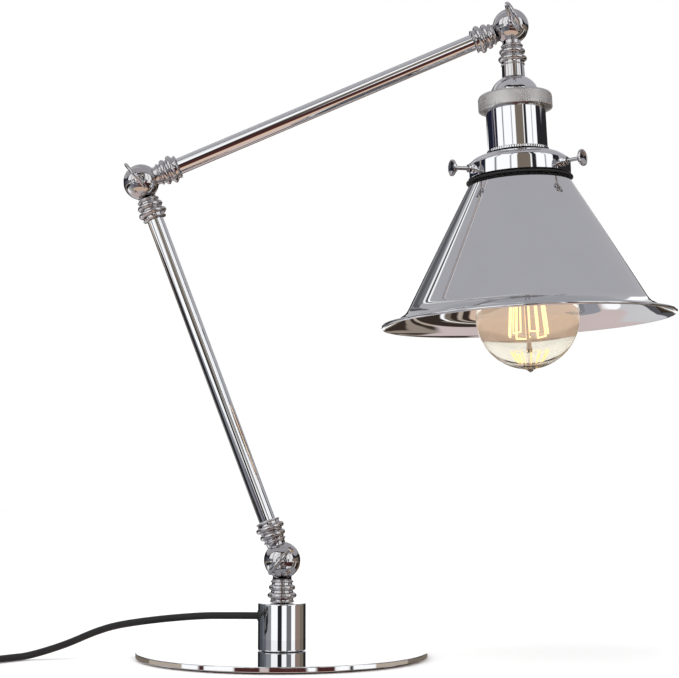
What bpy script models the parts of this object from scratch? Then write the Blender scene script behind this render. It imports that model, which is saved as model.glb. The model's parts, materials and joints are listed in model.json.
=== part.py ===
"""Swing arm desk lamp: a round base, two equal arms on ball knuckles, and a bulb holder with a cone shade.

Metres, +Z up. The origin is the centre of the base's underside. The arms move in the XZ plane, with the
shade towards +X, and every knuckle turns about Y. The ring screws face -Y.
"""

import math

import bmesh
import bpy
from mathutils import Matrix, Vector

MM = 0.001

# Clearances
GAP = 0.3 * MM  # between pieces that touch, and round a piece that turns
EMBED = 1.0 * MM  # how far a cutter runs past the face that it opens

# Base
PLATE_RADIUS = 110 * MM
PLATE_THICKNESS = 3.9 * MM
PLATE_EDGE = 0.6 * MM
PAD_RADIUS = 105 * MM
PAD_THICKNESS = 1.0 * MM
BASE_SCREW_RADIUS = 3.0 * MM
BASE_SCREW_HEAD_RADIUS = 6.0 * MM
BASE_SCREW_HEAD_HEIGHT = 2.8 * MM
BASE_SCREW_GRIP = 9.0 * MM  # how far it goes into the pillar

# Pillar
PILLAR_RADIUS = 18.3 * MM
PILLAR_HEIGHT = 35.3 * MM
PILLAR_EDGE = 1.2 * MM
WIRE_CHAMBER_RADIUS = 7.0 * MM
WIRE_CHAMBER_DEPTH = 19.0 * MM
PILLAR_TOP_WALL = 5.0 * MM

# Ball knuckles, all three alike. Heights are distances from the pivot along a stem.
BALL_RADIUS = 14.0 * MM
NECK_RADIUS = 7.2 * MM
BEAD_RADIUS = 10.2 * MM
BEAD_FROM = BALL_RADIUS + 2.5 * MM
BEAD_TO = BEAD_FROM + 5.5 * MM
GROOVE_RADIUS = 9.0 * MM
RING_RADIUS = 11.2 * MM
RING_FROM = BEAD_TO + 1.0 * MM
RING_TO = RING_FROM + 5.6 * MM
COLLAR_RADIUS = 9.1 * MM
COLLAR_END = RING_TO + 3.1 * MM
SPIGOT_RADIUS = 4.9 * MM
SPIGOT_LENGTH = 12.0 * MM
STEM_BORE_RADIUS = 2.9 * MM
POCKET_ROOM = 0.7 * MM  # round the other half of the ball
SCREW_RADIUS = 3.0 * MM
SCREW_GRIP = 9.0 * MM
SCREW_FLAT = 1.0 * MM  # how deep the ball is flattened under the ring screw
WIRE_CHANNEL = (4.6 * MM, 8.7 * MM, 6.0 * MM)  # inner radius, outer radius and depth
DISC_RADII = (WIRE_CHANNEL[1] + 0.6 * MM, BALL_RADIUS - 1.5 * MM)
DISC_THICKNESS = 0.7 * MM

# Ring screws
RING_SCREW_REACH = BALL_RADIUS + 12.6 * MM  # pivot to the centre of the ring
RING_SCREW_LOOP = 10.8 * MM
RING_SCREW_WIRE = 1.35 * MM
RING_SCREW_BOSS_RADIUS = 4.6 * MM
RING_SCREW_BOSS_LENGTH = 3.6 * MM
RING_SCREW_ANGLES = {"lower": 39, "middle": -41, "head": -26}  # of each ring from vertical, in degrees

# Arms
LOWER_ARM_LENGTH = 313 * MM
UPPER_ARM_LENGTH = 313 * MM
LOWER_ARM_LEAN = math.radians(-20.86)  # from vertical, about +Y
UPPER_ARM_LEAN = math.radians(67.34)
HEAD_LEAN = math.radians(-2.64)
TUBE_RADIUS = 6.5 * MM
TUBE_WALL = 1.3 * MM
WIRE_RADIUS = 2.2 * MM
WIRE_SETBACK = 35 * MM  # from each pivot

# Bulb holder. Depths are distances below the head pivot.
HEAD_COLLAR_END = COLLAR_END + 9.3 * MM
HOLDER_RADIUS = 23.1 * MM
CAP_TOP = HEAD_COLLAR_END + GAP
CAP_TOP_RADIUS = 9.3 * MM
CAP_RADIUS = 19.0 * MM
CAP_FOOT = CAP_TOP + 12.1 * MM
CAP_WALL = 1.5 * MM
CAP_FLANGE_RADIUS = HOLDER_RADIUS - 0.5 * MM
CAP_FLANGE_THICKNESS = 2.0 * MM
HEAD_SPIGOT_LENGTH = 10.0 * MM
NUT_RADIUS = 8.0 * MM
NUT_THICKNESS = 3.5 * MM
HOLDER_WALL = 1.5 * MM
HOLDER_LENGTH = 33.6 * MM  # below the knurled ring
KNURL_RADIUS = HOLDER_RADIUS + 5.6 * MM
KNURL_TOP_RADIUS = KNURL_RADIUS - 2.3 * MM
KNURL_TOP = CAP_FOOT + 0.2 * MM
KNURL_SHOULDER = KNURL_TOP + 4.4 * MM
KNURL_BOTTOM = KNURL_SHOULDER + 8.6 * MM
KNURL_ROOF = 3.2 * MM
HOLDER_BOTTOM = KNURL_BOTTOM + HOLDER_LENGTH
HOLDER_FLOOR = 1.6 * MM
SOCKET_RADIUS = 18.8 * MM
SOCKET_FLANGE_RADIUS = HOLDER_RADIUS - HOLDER_WALL - 0.6 * MM
SOCKET_FLANGE = 8.0 * MM
SOCKET_BED = HOLDER_BOTTOM + 31.8 * MM
SOCKET_BOTTOM = SOCKET_BED + 33.0 * MM
SOCKET_WALL = 3.4 * MM
SHELL_RADIUS = SOCKET_RADIUS - SOCKET_WALL - 0.7 * MM
SHELL_WALL = 0.6 * MM
SHELL_TOP = SOCKET_BED + 5.0 * MM
SHELL_BOTTOM = SHELL_TOP + 24.0 * MM
CONTACT_RADIUS = 3.2 * MM

# Gallery, which carries the shade
GALLERY_RADIUS = 39.8 * MM
GALLERY_NECK_RADIUS = HOLDER_RADIUS + 0.5 * MM
GALLERY_SHOULDER = HOLDER_BOTTOM + 7.8 * MM
GALLERY_BOTTOM = GALLERY_SHOULDER + 12.2 * MM
GALLERY_WALL = 1.3 * MM
LOCK_RING_RADIUS = SOCKET_RADIUS + 5.7 * MM
LOCK_RING_THICKNESS = 5.0 * MM
THUMBSCREW_DEPTH = GALLERY_SHOULDER + 5.7 * MM
THUMBSCREW_RADIUS = 1.5 * MM
THUMBSCREW_HEAD_RADIUS = 6.4 * MM
THUMBSCREW_HEAD_THICKNESS = 2.0 * MM
THUMBSCREW_REACH = GALLERY_RADIUS + 16.9 * MM  # head axis to the middle of the screw's head
THUMBSCREW_BOSS = (3.4 * MM, 3.0 * MM)  # radius and height of the gallery's boss
THUMBSCREW_AZIMUTHS = (-157, -37, 83)
GASKET_RADIUS = GALLERY_RADIUS + 2.3 * MM
GASKET_THICKNESS = 2.4 * MM

# Shade
SHADE_WALL = 0.9 * MM
SHADE_COLLAR_RADIUS = GALLERY_RADIUS - GALLERY_WALL - 1.5 * MM
SHADE_COLLAR_TOP = GALLERY_SHOULDER + 2.5 * MM
SHADE_TOP_RADIUS = SHADE_COLLAR_RADIUS + 1.8 * MM
SHADE_TOP = GALLERY_BOTTOM + 3.2 * MM
SHADE_FLARE_RADIUS = 92.6 * MM
SHADE_FLARE = SHADE_TOP + 96.7 * MM
SHADE_RIM_RADIUS = SHADE_FLARE_RADIUS + 20.4 * MM
SHADE_BOTTOM = SHADE_FLARE + 12.4 * MM

# Bulb
BULB_CAP_TOP = SOCKET_BED + 4.0 * MM
BULB_CENTRE = BULB_CAP_TOP + 92.9 * MM
BULB_RADIUS = 39.6 * MM
BULB_WALL = 0.8 * MM
BULB_NECK_RADIUS = 12.3 * MM
BULB_TIP = 2.4 * MM
BULB_CAP_LENGTH = 27.0 * MM
BULB_CAP_RADIUS = SHELL_RADIUS - SHELL_WALL - 0.9 * MM
BULB_CAP_WALL = 0.4 * MM
MOUNT_TOP = BULB_CAP_TOP + 26.0 * MM
MOUNT_TIP = BULB_CENTRE + 19.1 * MM
FILAMENT_LEGS = 8
FILAMENT_TOP = (BULB_CENTRE - 29.9 * MM, 6.5 * MM)  # depth and radius
FILAMENT_BOTTOM = (BULB_CENTRE + 15.1 * MM, 11.0 * MM)
FILAMENT_RADIUS = 0.4 * MM

# Mains cord: 1.8 m in all, most of it in a flat coil two turns high and four wide
CORD_RADIUS = 2.7 * MM
CORD_HEIGHT = 31.0 * MM
GROMMET_RADIUS = 4.2 * MM
GROMMET_LENGTH = 9.0 * MM
CORD_LEAD = [
    (-18.7, 0, 31.0),
    (-40, 0, 31.0),
    (-62, -0.8, 30.7),
    (-92, -3.2, 28.4),
    (-121, -7.5, 24.6),
    (-139, -11, 19.8),
    (-163, -18, 10.2),
    (-187, -26.5, 3.3),
    (-203, -46, 2.7),
    (-212.2, -57.4, 2.7),
]
SWITCH_FROM = (-212.4, -57.6)
SWITCH_TO = (-250.5, -106.4)
SWITCH_WIDTH = 21 * MM
SWITCH_BASE_HEIGHT = 6.0 * MM
SWITCH_HEIGHT = 15.0 * MM
SWITCH_CHAMFER = 3.0 * MM
ROCKER_LENGTH = 15.0 * MM
ROCKER_WIDTH = 8.0 * MM
ROCKER_DEPTH = 5.0 * MM
ROCKER_RISE = 1.6 * MM
CORD_TAIL = [(-250.7, -106.6, 2.7), (-256, -113.4, 2.7), (-262.6, -121.8, 2.9)]
COIL_CENTRE = (-306.1, -114.4)
COIL_MIDDLE_RADIUS = 31.05 * MM
COIL_HALF_WIDTH = 11.1 * MM
COIL_HEIGHT = 11.2 * MM
COIL_LIFT = 1.4 * MM
TIE_THICKNESS = 1.0 * MM
TIE_WIDTH = 9.0 * MM
TIE_AZIMUTH = math.radians(-100)
CORD_END = [(-345.0, -92.3, 9.4), (-343.2, -82, 8.9), (-338.8, -72, 8.0), (-334.4, -64, 7.3), (-333, -57, 7.1)]
PLUG_PLACE = (-333, -56)
PLUG_BOOT_LENGTH = 22 * MM
PLUG_BOOT_RADIUS = 5.2 * MM
PLUG_LENGTH = 30 * MM
PLUG_WIDTH = 26 * MM
PLUG_THICKNESS = 13.8 * MM
PIN_RADIUS = 2.0 * MM
PIN_LENGTH = 19 * MM
PIN_ROOT = 6 * MM
PIN_SPACING = 18.6 * MM

# Facets
COARSE = 12
MEDIUM = 16
FINE = 28


def finish(name, colour, metallic, roughness):
    """A Principled material with one colour."""
    material = bpy.data.materials.new(name)
    material.use_nodes = True
    shader = material.node_tree.nodes["Principled BSDF"]
    shader.inputs["Base Color"].default_value = (*colour, 1)
    shader.inputs["Metallic"].default_value = metallic
    shader.inputs["Roughness"].default_value = roughness
    return material


def arc(centre, radius, start, end, count):
    """Points on a circle in the outline's plane, from start to end in degrees, where 0 points outwards."""
    angles = [math.radians(start + (end - start) * i / count) for i in range(count + 1)]
    return [(centre[0] + radius * math.cos(a), centre[1] + radius * math.sin(a)) for a in angles]


def placed(name, mesh, material, parent, at, turn):
    """An object of this bmesh, smooth apart from its corners, at a place in its parent's frame."""
    bmesh.ops.remove_doubles(mesh, verts=mesh.verts, dist=1e-6)
    bmesh.ops.recalc_face_normals(mesh, faces=mesh.faces)
    data = bpy.data.meshes.new(name)
    mesh.to_mesh(data)
    mesh.free()
    data.shade_smooth()
    data.set_sharp_from_angle(angle=math.radians(32))
    data.materials.append(material)
    made = bpy.data.objects.new(name, data)
    bpy.context.scene.collection.objects.link(made)
    made.parent = parent
    made.location = at
    made.rotation_euler = (0, turn, 0)
    return made


def turned(name, outline, material, parent=None, at=(0, 0, 0), turn=0.0, axis="Z", steps=MEDIUM, spin=0.0):
    """A lathe-turned piece. Its outline is (radius, height) points, and closes at the axis or on itself."""
    mesh = bmesh.new()
    corners = [mesh.verts.new((max(r, 0.0), 0, h)) for r, h in outline]
    edges = [mesh.edges.new(pair) for pair in zip(corners, corners[1:])]
    if outline[0][0] > 1e-6:
        edges.append(mesh.edges.new((corners[-1], corners[0])))
    bmesh.ops.spin(mesh, geom=corners + edges, axis=(0, 0, 1), cent=(0, 0, 0), steps=steps,
                   angle=2 * math.pi, use_merge=True)
    lay = {"Z": Matrix(), "Y": Matrix.Rotation(-math.pi / 2, 4, "X"), "X": Matrix.Rotation(math.pi / 2, 4, "Y")}
    place = Matrix.Rotation(spin, 4, "Z") @ lay[axis]
    bmesh.ops.transform(mesh, matrix=place, verts=mesh.verts)
    return placed(name, mesh, material, parent, at, turn)


def prism(name, outline, bottom, top, material, parent=None, at=(0, 0, 0), turn=0.0, across=0.0):
    """An upright prism over an outline of (x, y) points, turned by across about Z."""
    mesh = bmesh.new()
    corners = [mesh.verts.new((x, y, bottom)) for x, y in outline]
    face = mesh.faces.new(corners)
    raised = bmesh.ops.extrude_face_region(mesh, geom=[face])["geom"]
    up = [v for v in raised if isinstance(v, bmesh.types.BMVert)]
    bmesh.ops.translate(mesh, vec=(0, 0, top - bottom), verts=up)
    bmesh.ops.transform(mesh, matrix=Matrix.Rotation(across, 4, "Z"), verts=mesh.verts)
    return placed(name, mesh, material, parent, at, turn)


def combine(piece, tool, operation):
    """Cuts the tool from the piece or joins it on, and hides the tool."""
    modifier = piece.modifiers.new(tool.name, "BOOLEAN")
    modifier.operation = operation
    modifier.solver = "EXACT"
    modifier.object = tool
    tool.hide_render = True
    tool.display_type = "WIRE"


def rod(radius, start, end):
    """The outline of a plain solid cylinder."""
    return [(0, start), (radius, start), (radius, end), (0, end)]


def ring(inner, outer, start, end):
    """The outline of a plain washer or tube."""
    return [(inner, start), (outer, start), (outer, end), (inner, end)]


def inset(points, wall):
    """The same line moved sideways by the wall, towards its left as it runs."""
    moved = []
    for i, (x, y) in enumerate(points):
        before = Vector(points[max(i - 1, 0)])
        after = Vector(points[min(i + 1, len(points) - 1)])
        along = (after - before).normalized()
        moved.append((max(x - along.y * wall, 0.0), y + along.x * wall))
    return moved


def smooth_route(points, spacing):
    """Points every spacing along a smooth curve through the given ones, in metres."""
    route = [Vector(p) * MM for p in points]
    ends = [route[0] * 2 - route[1], *route, route[-1] * 2 - route[-2]]
    fine = []
    for a, b, c, d in zip(ends, ends[1:], ends[2:], ends[3:]):
        for step in range(20):
            t = step / 20
            fine.append(0.5 * (2 * b + (c - a) * t + (2 * a - 5 * b + 4 * c - d) * t**2
                               + (3 * b - a - 3 * c + d) * t**3))
    fine.append(route[-1])
    kept = [fine[0]]
    for point in fine[1:-1]:
        if (point - kept[-1]).length >= spacing and (point - fine[-1]).length > spacing / 2:
            kept.append(point)
    return kept + [fine[-1]]


def tube_along(name, route, radius, material, parent=None, resolution=2, closed=False):
    """A round cord along a route of points."""
    curve = bpy.data.curves.new(name, "CURVE")
    curve.dimensions = "3D"
    curve.bevel_depth = radius
    curve.bevel_resolution = resolution
    curve.use_fill_caps = True
    spline = curve.splines.new("POLY")
    spline.points.add(len(route) - 1)
    for target, point in zip(spline.points, route):
        target.co = (*point, 1)
    spline.use_cyclic_u = closed
    curve.materials.append(material)
    made = bpy.data.objects.new(name, curve)
    bpy.context.scene.collection.objects.link(made)
    made.parent = parent
    return made


def joint_empty(name, parent, at, turn):
    """An empty on a joint's axis, which carries the body that turns there."""
    made = bpy.data.objects.new(name, None)
    made.empty_display_size = 20 * MM
    bpy.context.scene.collection.objects.link(made)
    made.parent = parent
    made.location = at
    made.rotation_euler = (0, turn, 0)
    return made


def stem_outline(collar_end, spigot_length):
    """A whole ball with its neck, bead, ring, collar and spigot, from the ball's far pole to the spigot's end."""
    neck_from = math.sqrt(BALL_RADIUS**2 - NECK_RADIUS**2)
    neck_angle = math.degrees(math.asin(neck_from / BALL_RADIUS))
    ball = arc((0, 0), BALL_RADIUS, -90, neck_angle, 6)
    bead_middle = (BEAD_FROM + BEAD_TO) / 2
    ring_middle = (RING_FROM + RING_TO) / 2
    return [
        (0, ball[0][1]),
        *ball[1:],
        (NECK_RADIUS, BEAD_FROM),
        (BEAD_RADIUS, bead_middle - 1.4 * MM),
        (BEAD_RADIUS, bead_middle + 1.4 * MM),
        (GROOVE_RADIUS, BEAD_TO),
        (GROOVE_RADIUS, RING_FROM),
        (RING_RADIUS, ring_middle - 1.2 * MM),
        (RING_RADIUS, ring_middle + 1.2 * MM),
        (COLLAR_RADIUS, RING_TO),
        (COLLAR_RADIUS, collar_end),
        (SPIGOT_RADIUS, collar_end),
        (SPIGOT_RADIUS, collar_end + spigot_length),
        (0, collar_end + spigot_length),
    ]


def knuckle_half(name, rear, parent, at=(0, 0, 0), turn=0.0, collar_end=COLLAR_END, spigot=SPIGOT_LENGTH):
    """Half a ball on a turned stem. The rear half lies at +Y and takes the screw's thread."""
    half = turned(name, stem_outline(collar_end, spigot), CHROME, parent, at, turn, steps=MEDIUM)
    face = GAP / 2  # the split between the halves
    room = BALL_RADIUS + POCKET_ROOM
    pocket = [(0, -room), *arc((0, 0), room, -90, 0, 5)[1:], (room, face), (0, face)]
    hole = SCREW_RADIUS + GAP
    channel_in, channel_out, channel_deep = WIRE_CHANNEL
    if rear:
        seat = DISC_RADII[1] + GAP
        inside = [(0, -EMBED), (seat, -EMBED), (seat, face + DISC_THICKNESS + GAP),
                  (channel_out, face + DISC_THICKNESS + GAP)]
        screw_end = SCREW_GRIP + GAP
    else:
        inside = [(0, -EMBED), (channel_out, -EMBED)]
        screw_end = BALL_RADIUS + EMBED
    inside += [(channel_out, channel_deep), (channel_in, channel_deep), (channel_in, -EMBED / 2),
               (hole, -EMBED / 2), (hole, screw_end), (0, screw_end)]
    side = 1 if rear else -1
    for part, outline in (("pocket", pocket), ("inside", inside)):
        outline = [(r, h * side) for r, h in outline]
        tool = turned(f"{name}_{part}", outline, CHROME, parent, at, turn, axis="Y", steps=MEDIUM)
        combine(half, tool, "DIFFERENCE")
    bore_from = (channel_in + channel_out) / 2
    bore = rod(STEM_BORE_RADIUS, bore_from, collar_end + spigot + EMBED)
    combine(half, turned(f"{name}_bore", bore, CHROME, parent, at, turn, steps=COARSE), "DIFFERENCE")
    if not rear:
        flat = rod(BALL_RADIUS / 2, -BALL_RADIUS - EMBED, SCREW_FLAT - BALL_RADIUS)
        combine(half, turned(f"{name}_flat", flat, CHROME, parent, at, turn, axis="Y"), "DIFFERENCE")
    return half


def ring_screw(knuckle, parent, at, parent_lean):
    """A screw that clamps a knuckle, with a wire ring to turn it by."""
    turn = math.radians(RING_SCREW_ANGLES[knuckle]) - parent_lean
    name = f"{knuckle}_ring_screw"
    seat = SCREW_FLAT - BALL_RADIUS - GAP
    boss_end = seat - RING_SCREW_BOSS_LENGTH
    shank = [(0, boss_end), (RING_SCREW_BOSS_RADIUS * 0.7, boss_end), (RING_SCREW_BOSS_RADIUS, seat - 2 * MM),
             (RING_SCREW_BOSS_RADIUS, seat), (SCREW_RADIUS, seat), (SCREW_RADIUS, SCREW_GRIP), (0, SCREW_GRIP)]
    screw = turned(name, shank, CHROME, parent, at, turn, axis="Y", steps=COARSE)
    loop = bmesh.new()
    wire = bmesh.ops.create_circle(loop, segments=6, radius=RING_SCREW_WIRE, cap_ends=False)["verts"]
    bmesh.ops.rotate(loop, verts=wire, matrix=Matrix.Rotation(math.pi / 2, 3, "X"))
    bmesh.ops.translate(loop, verts=wire, vec=(RING_SCREW_LOOP, 0, 0))
    bmesh.ops.spin(loop, geom=loop.verts[:] + loop.edges[:], axis=(0, 0, 1), cent=(0, 0, 0), steps=MEDIUM,
                   angle=2 * math.pi, use_merge=True)
    bmesh.ops.rotate(loop, verts=loop.verts, matrix=Matrix.Rotation(math.pi / 2, 3, "Y"))
    bmesh.ops.translate(loop, verts=loop.verts, vec=(0, -RING_SCREW_REACH, 0))
    combine(screw, placed(f"{name}_loop", loop, CHROME, parent, at, turn), "UNION")


def friction_disc(name, parent, at=(0, 0, 0), turn=0.0):
    """The fibre disc between the halves of a knuckle."""
    outline = ring(*DISC_RADII, GAP / 2, GAP / 2 + DISC_THICKNESS)
    turned(name, outline, FIBRE, parent, at, turn, axis="Y", steps=MEDIUM)


def arm(prefix, length, parent):
    """A tube between two knuckle halves, and the wire inside it."""
    knuckle_half(f"{prefix}_arm_foot", False, parent)
    knuckle_half(f"{prefix}_arm_end", True, parent, (0, 0, length), math.pi)
    inner = TUBE_RADIUS - TUBE_WALL
    start = COLLAR_END + GAP
    turned(f"{prefix}_arm_tube", ring(inner, TUBE_RADIUS, start, length - start), CHROME, parent)
    wire = rod(WIRE_RADIUS, WIRE_SETBACK, length - WIRE_SETBACK)
    turned(f"{prefix}_arm_wire", wire, CABLE, parent, steps=COARSE)


def below(points):
    """Depths below the head pivot, as heights."""
    return [(r, -depth) for r, depth in points]


for old in list(bpy.data.objects):
    bpy.data.objects.remove(old)

CHROME = finish("polished chrome", (0.78, 0.79, 0.81), 1.0, 0.05)
SATIN = finish("satin nickel", (0.62, 0.62, 0.63), 1.0, 0.35)
RUBBER = finish("black rubber", (0.02, 0.02, 0.02), 0.0, 0.7)
FIBRE = finish("fibre", (0.35, 0.12, 0.06), 0.0, 0.8)
CABLE = finish("black cable", (0.012, 0.012, 0.013), 0.0, 0.45)
PORCELAIN = finish("porcelain", (0.85, 0.84, 0.8), 0.0, 0.2)
BRASS = finish("brass", (0.75, 0.55, 0.25), 1.0, 0.3)
GLASS = finish("amber glass", (0.95, 0.8, 0.5), 0.0, 0.03)
FILAMENT = finish("filament", (1.0, 0.6, 0.2), 0.0, 0.5)
BLACK_PLASTIC = finish("black plastic", (0.02, 0.02, 0.022), 0.0, 0.4)

# Base: pad, plate, the screw that holds the pillar, and the pillar with its grommet
plate_bottom = PAD_THICKNESS + GAP
plate_top = plate_bottom + PLATE_THICKNESS
turned("base_pad", rod(PAD_RADIUS, 0, PAD_THICKNESS), RUBBER, steps=FINE)
hole = BASE_SCREW_RADIUS + GAP
sink = BASE_SCREW_HEAD_RADIUS + GAP
plate_outline = [
    (sink, plate_bottom),
    (PLATE_RADIUS - PLATE_EDGE, plate_bottom),
    (PLATE_RADIUS, plate_bottom + PLATE_EDGE),
    (PLATE_RADIUS, plate_top - PLATE_EDGE),
    (PLATE_RADIUS - PLATE_EDGE, plate_top),
    (hole, plate_top),
    (hole, plate_bottom + BASE_SCREW_HEAD_HEIGHT),
]
turned("base_plate", plate_outline, CHROME, steps=FINE)
pillar_bottom = plate_top + GAP
pillar_top = pillar_bottom + PILLAR_HEIGHT
screw_top = pillar_bottom + BASE_SCREW_GRIP
turned(
    "base_screw",
    [
        (0, plate_bottom),
        (BASE_SCREW_HEAD_RADIUS, plate_bottom),
        (BASE_SCREW_RADIUS, plate_bottom + BASE_SCREW_HEAD_HEIGHT - GAP),
        (BASE_SCREW_RADIUS, screw_top),
        (0, screw_top),
    ],
    SATIN,
    steps=COARSE,
)
lower_pivot = pillar_top + GAP + COLLAR_END
spigot_room = SPIGOT_RADIUS + GAP
chamber_top = pillar_top - PILLAR_TOP_WALL
pillar = turned(
    "pillar",
    [
        (hole, pillar_bottom),
        (PILLAR_RADIUS, pillar_bottom),
        (PILLAR_RADIUS, pillar_top - PILLAR_EDGE),
        (PILLAR_RADIUS - 0.3 * PILLAR_EDGE, pillar_top - 0.3 * PILLAR_EDGE),
        (PILLAR_RADIUS - PILLAR_EDGE, pillar_top),
        (spigot_room, pillar_top),
        (spigot_room, chamber_top),
        (WIRE_CHAMBER_RADIUS, chamber_top),
        (WIRE_CHAMBER_RADIUS, chamber_top - WIRE_CHAMBER_DEPTH),
        (hole, chamber_top - WIRE_CHAMBER_DEPTH),
    ],
    CHROME,
    steps=FINE,
)
cord_hole = rod(GROMMET_RADIUS + GAP, -PILLAR_RADIUS - EMBED, 0)
combine(pillar, turned("cord_hole", cord_hole, CHROME, at=(0, 0, CORD_HEIGHT), axis="X", steps=COARSE),
        "DIFFERENCE")
grommet_face = -PILLAR_RADIUS
turned("cord_grommet", rod(GROMMET_RADIUS, grommet_face, grommet_face + GROMMET_LENGTH), RUBBER,
       at=(0, 0, CORD_HEIGHT), axis="X", steps=COARSE)

# Lower knuckle, arms and the middle knuckle
lower_joint = joint_empty("lower_joint", None, (0, 0, lower_pivot), LOWER_ARM_LEAN)
knuckle_half("pillar_knuckle", True, None, (0, 0, lower_pivot), math.pi)
friction_disc("lower_friction_disc", None, (0, 0, lower_pivot))
ring_screw("lower", None, (0, 0, lower_pivot), 0.0)
arm("lower", LOWER_ARM_LENGTH, lower_joint)
elbow = (0, 0, LOWER_ARM_LENGTH)
friction_disc("middle_friction_disc", lower_joint, elbow)
ring_screw("middle", lower_joint, elbow, LOWER_ARM_LEAN)
middle_joint = joint_empty("middle_joint", lower_joint, elbow, UPPER_ARM_LEAN - LOWER_ARM_LEAN)
arm("upper", UPPER_ARM_LENGTH, middle_joint)
wrist = (0, 0, UPPER_ARM_LENGTH)
friction_disc("head_friction_disc", middle_joint, wrist)
ring_screw("head", middle_joint, wrist, UPPER_ARM_LEAN)
head = joint_empty("head_joint", middle_joint, wrist, HEAD_LEAN - UPPER_ARM_LEAN)

# Bulb holder: stem, cap, knurled ring, body, socket and its contacts
knuckle_half("head_knuckle", False, head, (0, 0, 0), math.pi, HEAD_COLLAR_END, HEAD_SPIGOT_LENGTH)
cap_outside = [
    (spigot_room, CAP_TOP),
    (CAP_TOP_RADIUS, CAP_TOP),
    (13.0 * MM, CAP_TOP + 1.6 * MM),
    (16.6 * MM, CAP_TOP + 4.8 * MM),
    (CAP_RADIUS, CAP_FOOT - 2.0 * MM),
    (CAP_RADIUS, CAP_FOOT + KNURL_ROOF + GAP),
]
cap_flange = CAP_FOOT + KNURL_ROOF + GAP
cap_bottom = cap_flange + CAP_FLANGE_THICKNESS
turned(
    "holder_cap",
    below(
        [
            *cap_outside,
            (CAP_FLANGE_RADIUS, cap_flange),
            (CAP_FLANGE_RADIUS, cap_bottom),
            (CAP_RADIUS - CAP_WALL, cap_bottom),
            (CAP_RADIUS - CAP_WALL, CAP_FOOT - 1.2 * MM),
            (16.6 * MM - CAP_WALL, CAP_TOP + 4.8 * MM + CAP_WALL / 2),
            (11.5 * MM, CAP_TOP + 1.6 * MM + CAP_WALL),
            (spigot_room, CAP_TOP + 1.6 * MM + CAP_WALL),
        ]
    ),
    CHROME,
    head,
)
nut_top = CAP_TOP + 1.6 * MM + CAP_WALL + GAP
hexagon = [(NUT_RADIUS * math.cos(a), NUT_RADIUS * math.sin(a)) for a in
           (math.radians(60 * i) for i in range(6))]
lock_nut = prism("holder_lock_nut", hexagon, -nut_top - NUT_THICKNESS, -nut_top, SATIN, head)
combine(lock_nut, turned("nut_hole", rod(spigot_room, -nut_top - NUT_THICKNESS - EMBED, -nut_top + EMBED),
                         SATIN, head, steps=COARSE), "DIFFERENCE")
turned(
    "knurled_ring",
    below(
        [
            (CAP_RADIUS + GAP, KNURL_TOP),
            (KNURL_TOP_RADIUS - 3 * MM, KNURL_TOP),
            (KNURL_TOP_RADIUS, KNURL_TOP + 1.0 * MM),
            (KNURL_RADIUS - 0.8 * MM, KNURL_TOP + 2.6 * MM),
            (KNURL_RADIUS, KNURL_SHOULDER),
            (KNURL_RADIUS, KNURL_BOTTOM - 0.8 * MM),
            (KNURL_RADIUS - 0.8 * MM, KNURL_BOTTOM),
            (HOLDER_RADIUS + GAP, KNURL_BOTTOM),
            (HOLDER_RADIUS + GAP, CAP_FOOT + KNURL_ROOF),
            (CAP_RADIUS + GAP, CAP_FOOT + KNURL_ROOF),
        ]
    ),
    SATIN,
    head,
    steps=FINE,
)
holder_top = cap_bottom + GAP
holder_inner = HOLDER_RADIUS - HOLDER_WALL
floor_hole = SOCKET_RADIUS + GAP
turned(
    "holder_body",
    below(
        [
            (holder_inner, holder_top),
            (HOLDER_RADIUS, holder_top),
            (HOLDER_RADIUS, HOLDER_BOTTOM),
            (floor_hole, HOLDER_BOTTOM),
            (floor_hole, HOLDER_BOTTOM - HOLDER_FLOOR),
            (holder_inner, HOLDER_BOTTOM - HOLDER_FLOOR),
        ]
    ),
    CHROME,
    head,
)
flange_bottom = HOLDER_BOTTOM - HOLDER_FLOOR - GAP
turned(
    "socket_core",
    below(
        [
            (0, flange_bottom - SOCKET_FLANGE),
            (SOCKET_FLANGE_RADIUS, flange_bottom - SOCKET_FLANGE),
            (SOCKET_FLANGE_RADIUS, flange_bottom),
            (SOCKET_RADIUS, flange_bottom),
            (SOCKET_RADIUS, SOCKET_BOTTOM),
            (SOCKET_RADIUS - SOCKET_WALL, SOCKET_BOTTOM),
            (SOCKET_RADIUS - SOCKET_WALL, SOCKET_BED),
            (0, SOCKET_BED),
        ]
    ),
    PORCELAIN,
    head,
)
turned("screw_shell", below(ring(SHELL_RADIUS - SHELL_WALL, SHELL_RADIUS, SHELL_TOP, SHELL_BOTTOM)), BRASS, head)
turned("centre_contact", below(rod(CONTACT_RADIUS, SOCKET_BED + GAP, BULB_CAP_TOP - GAP)), BRASS, head,
       steps=COARSE)

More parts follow.
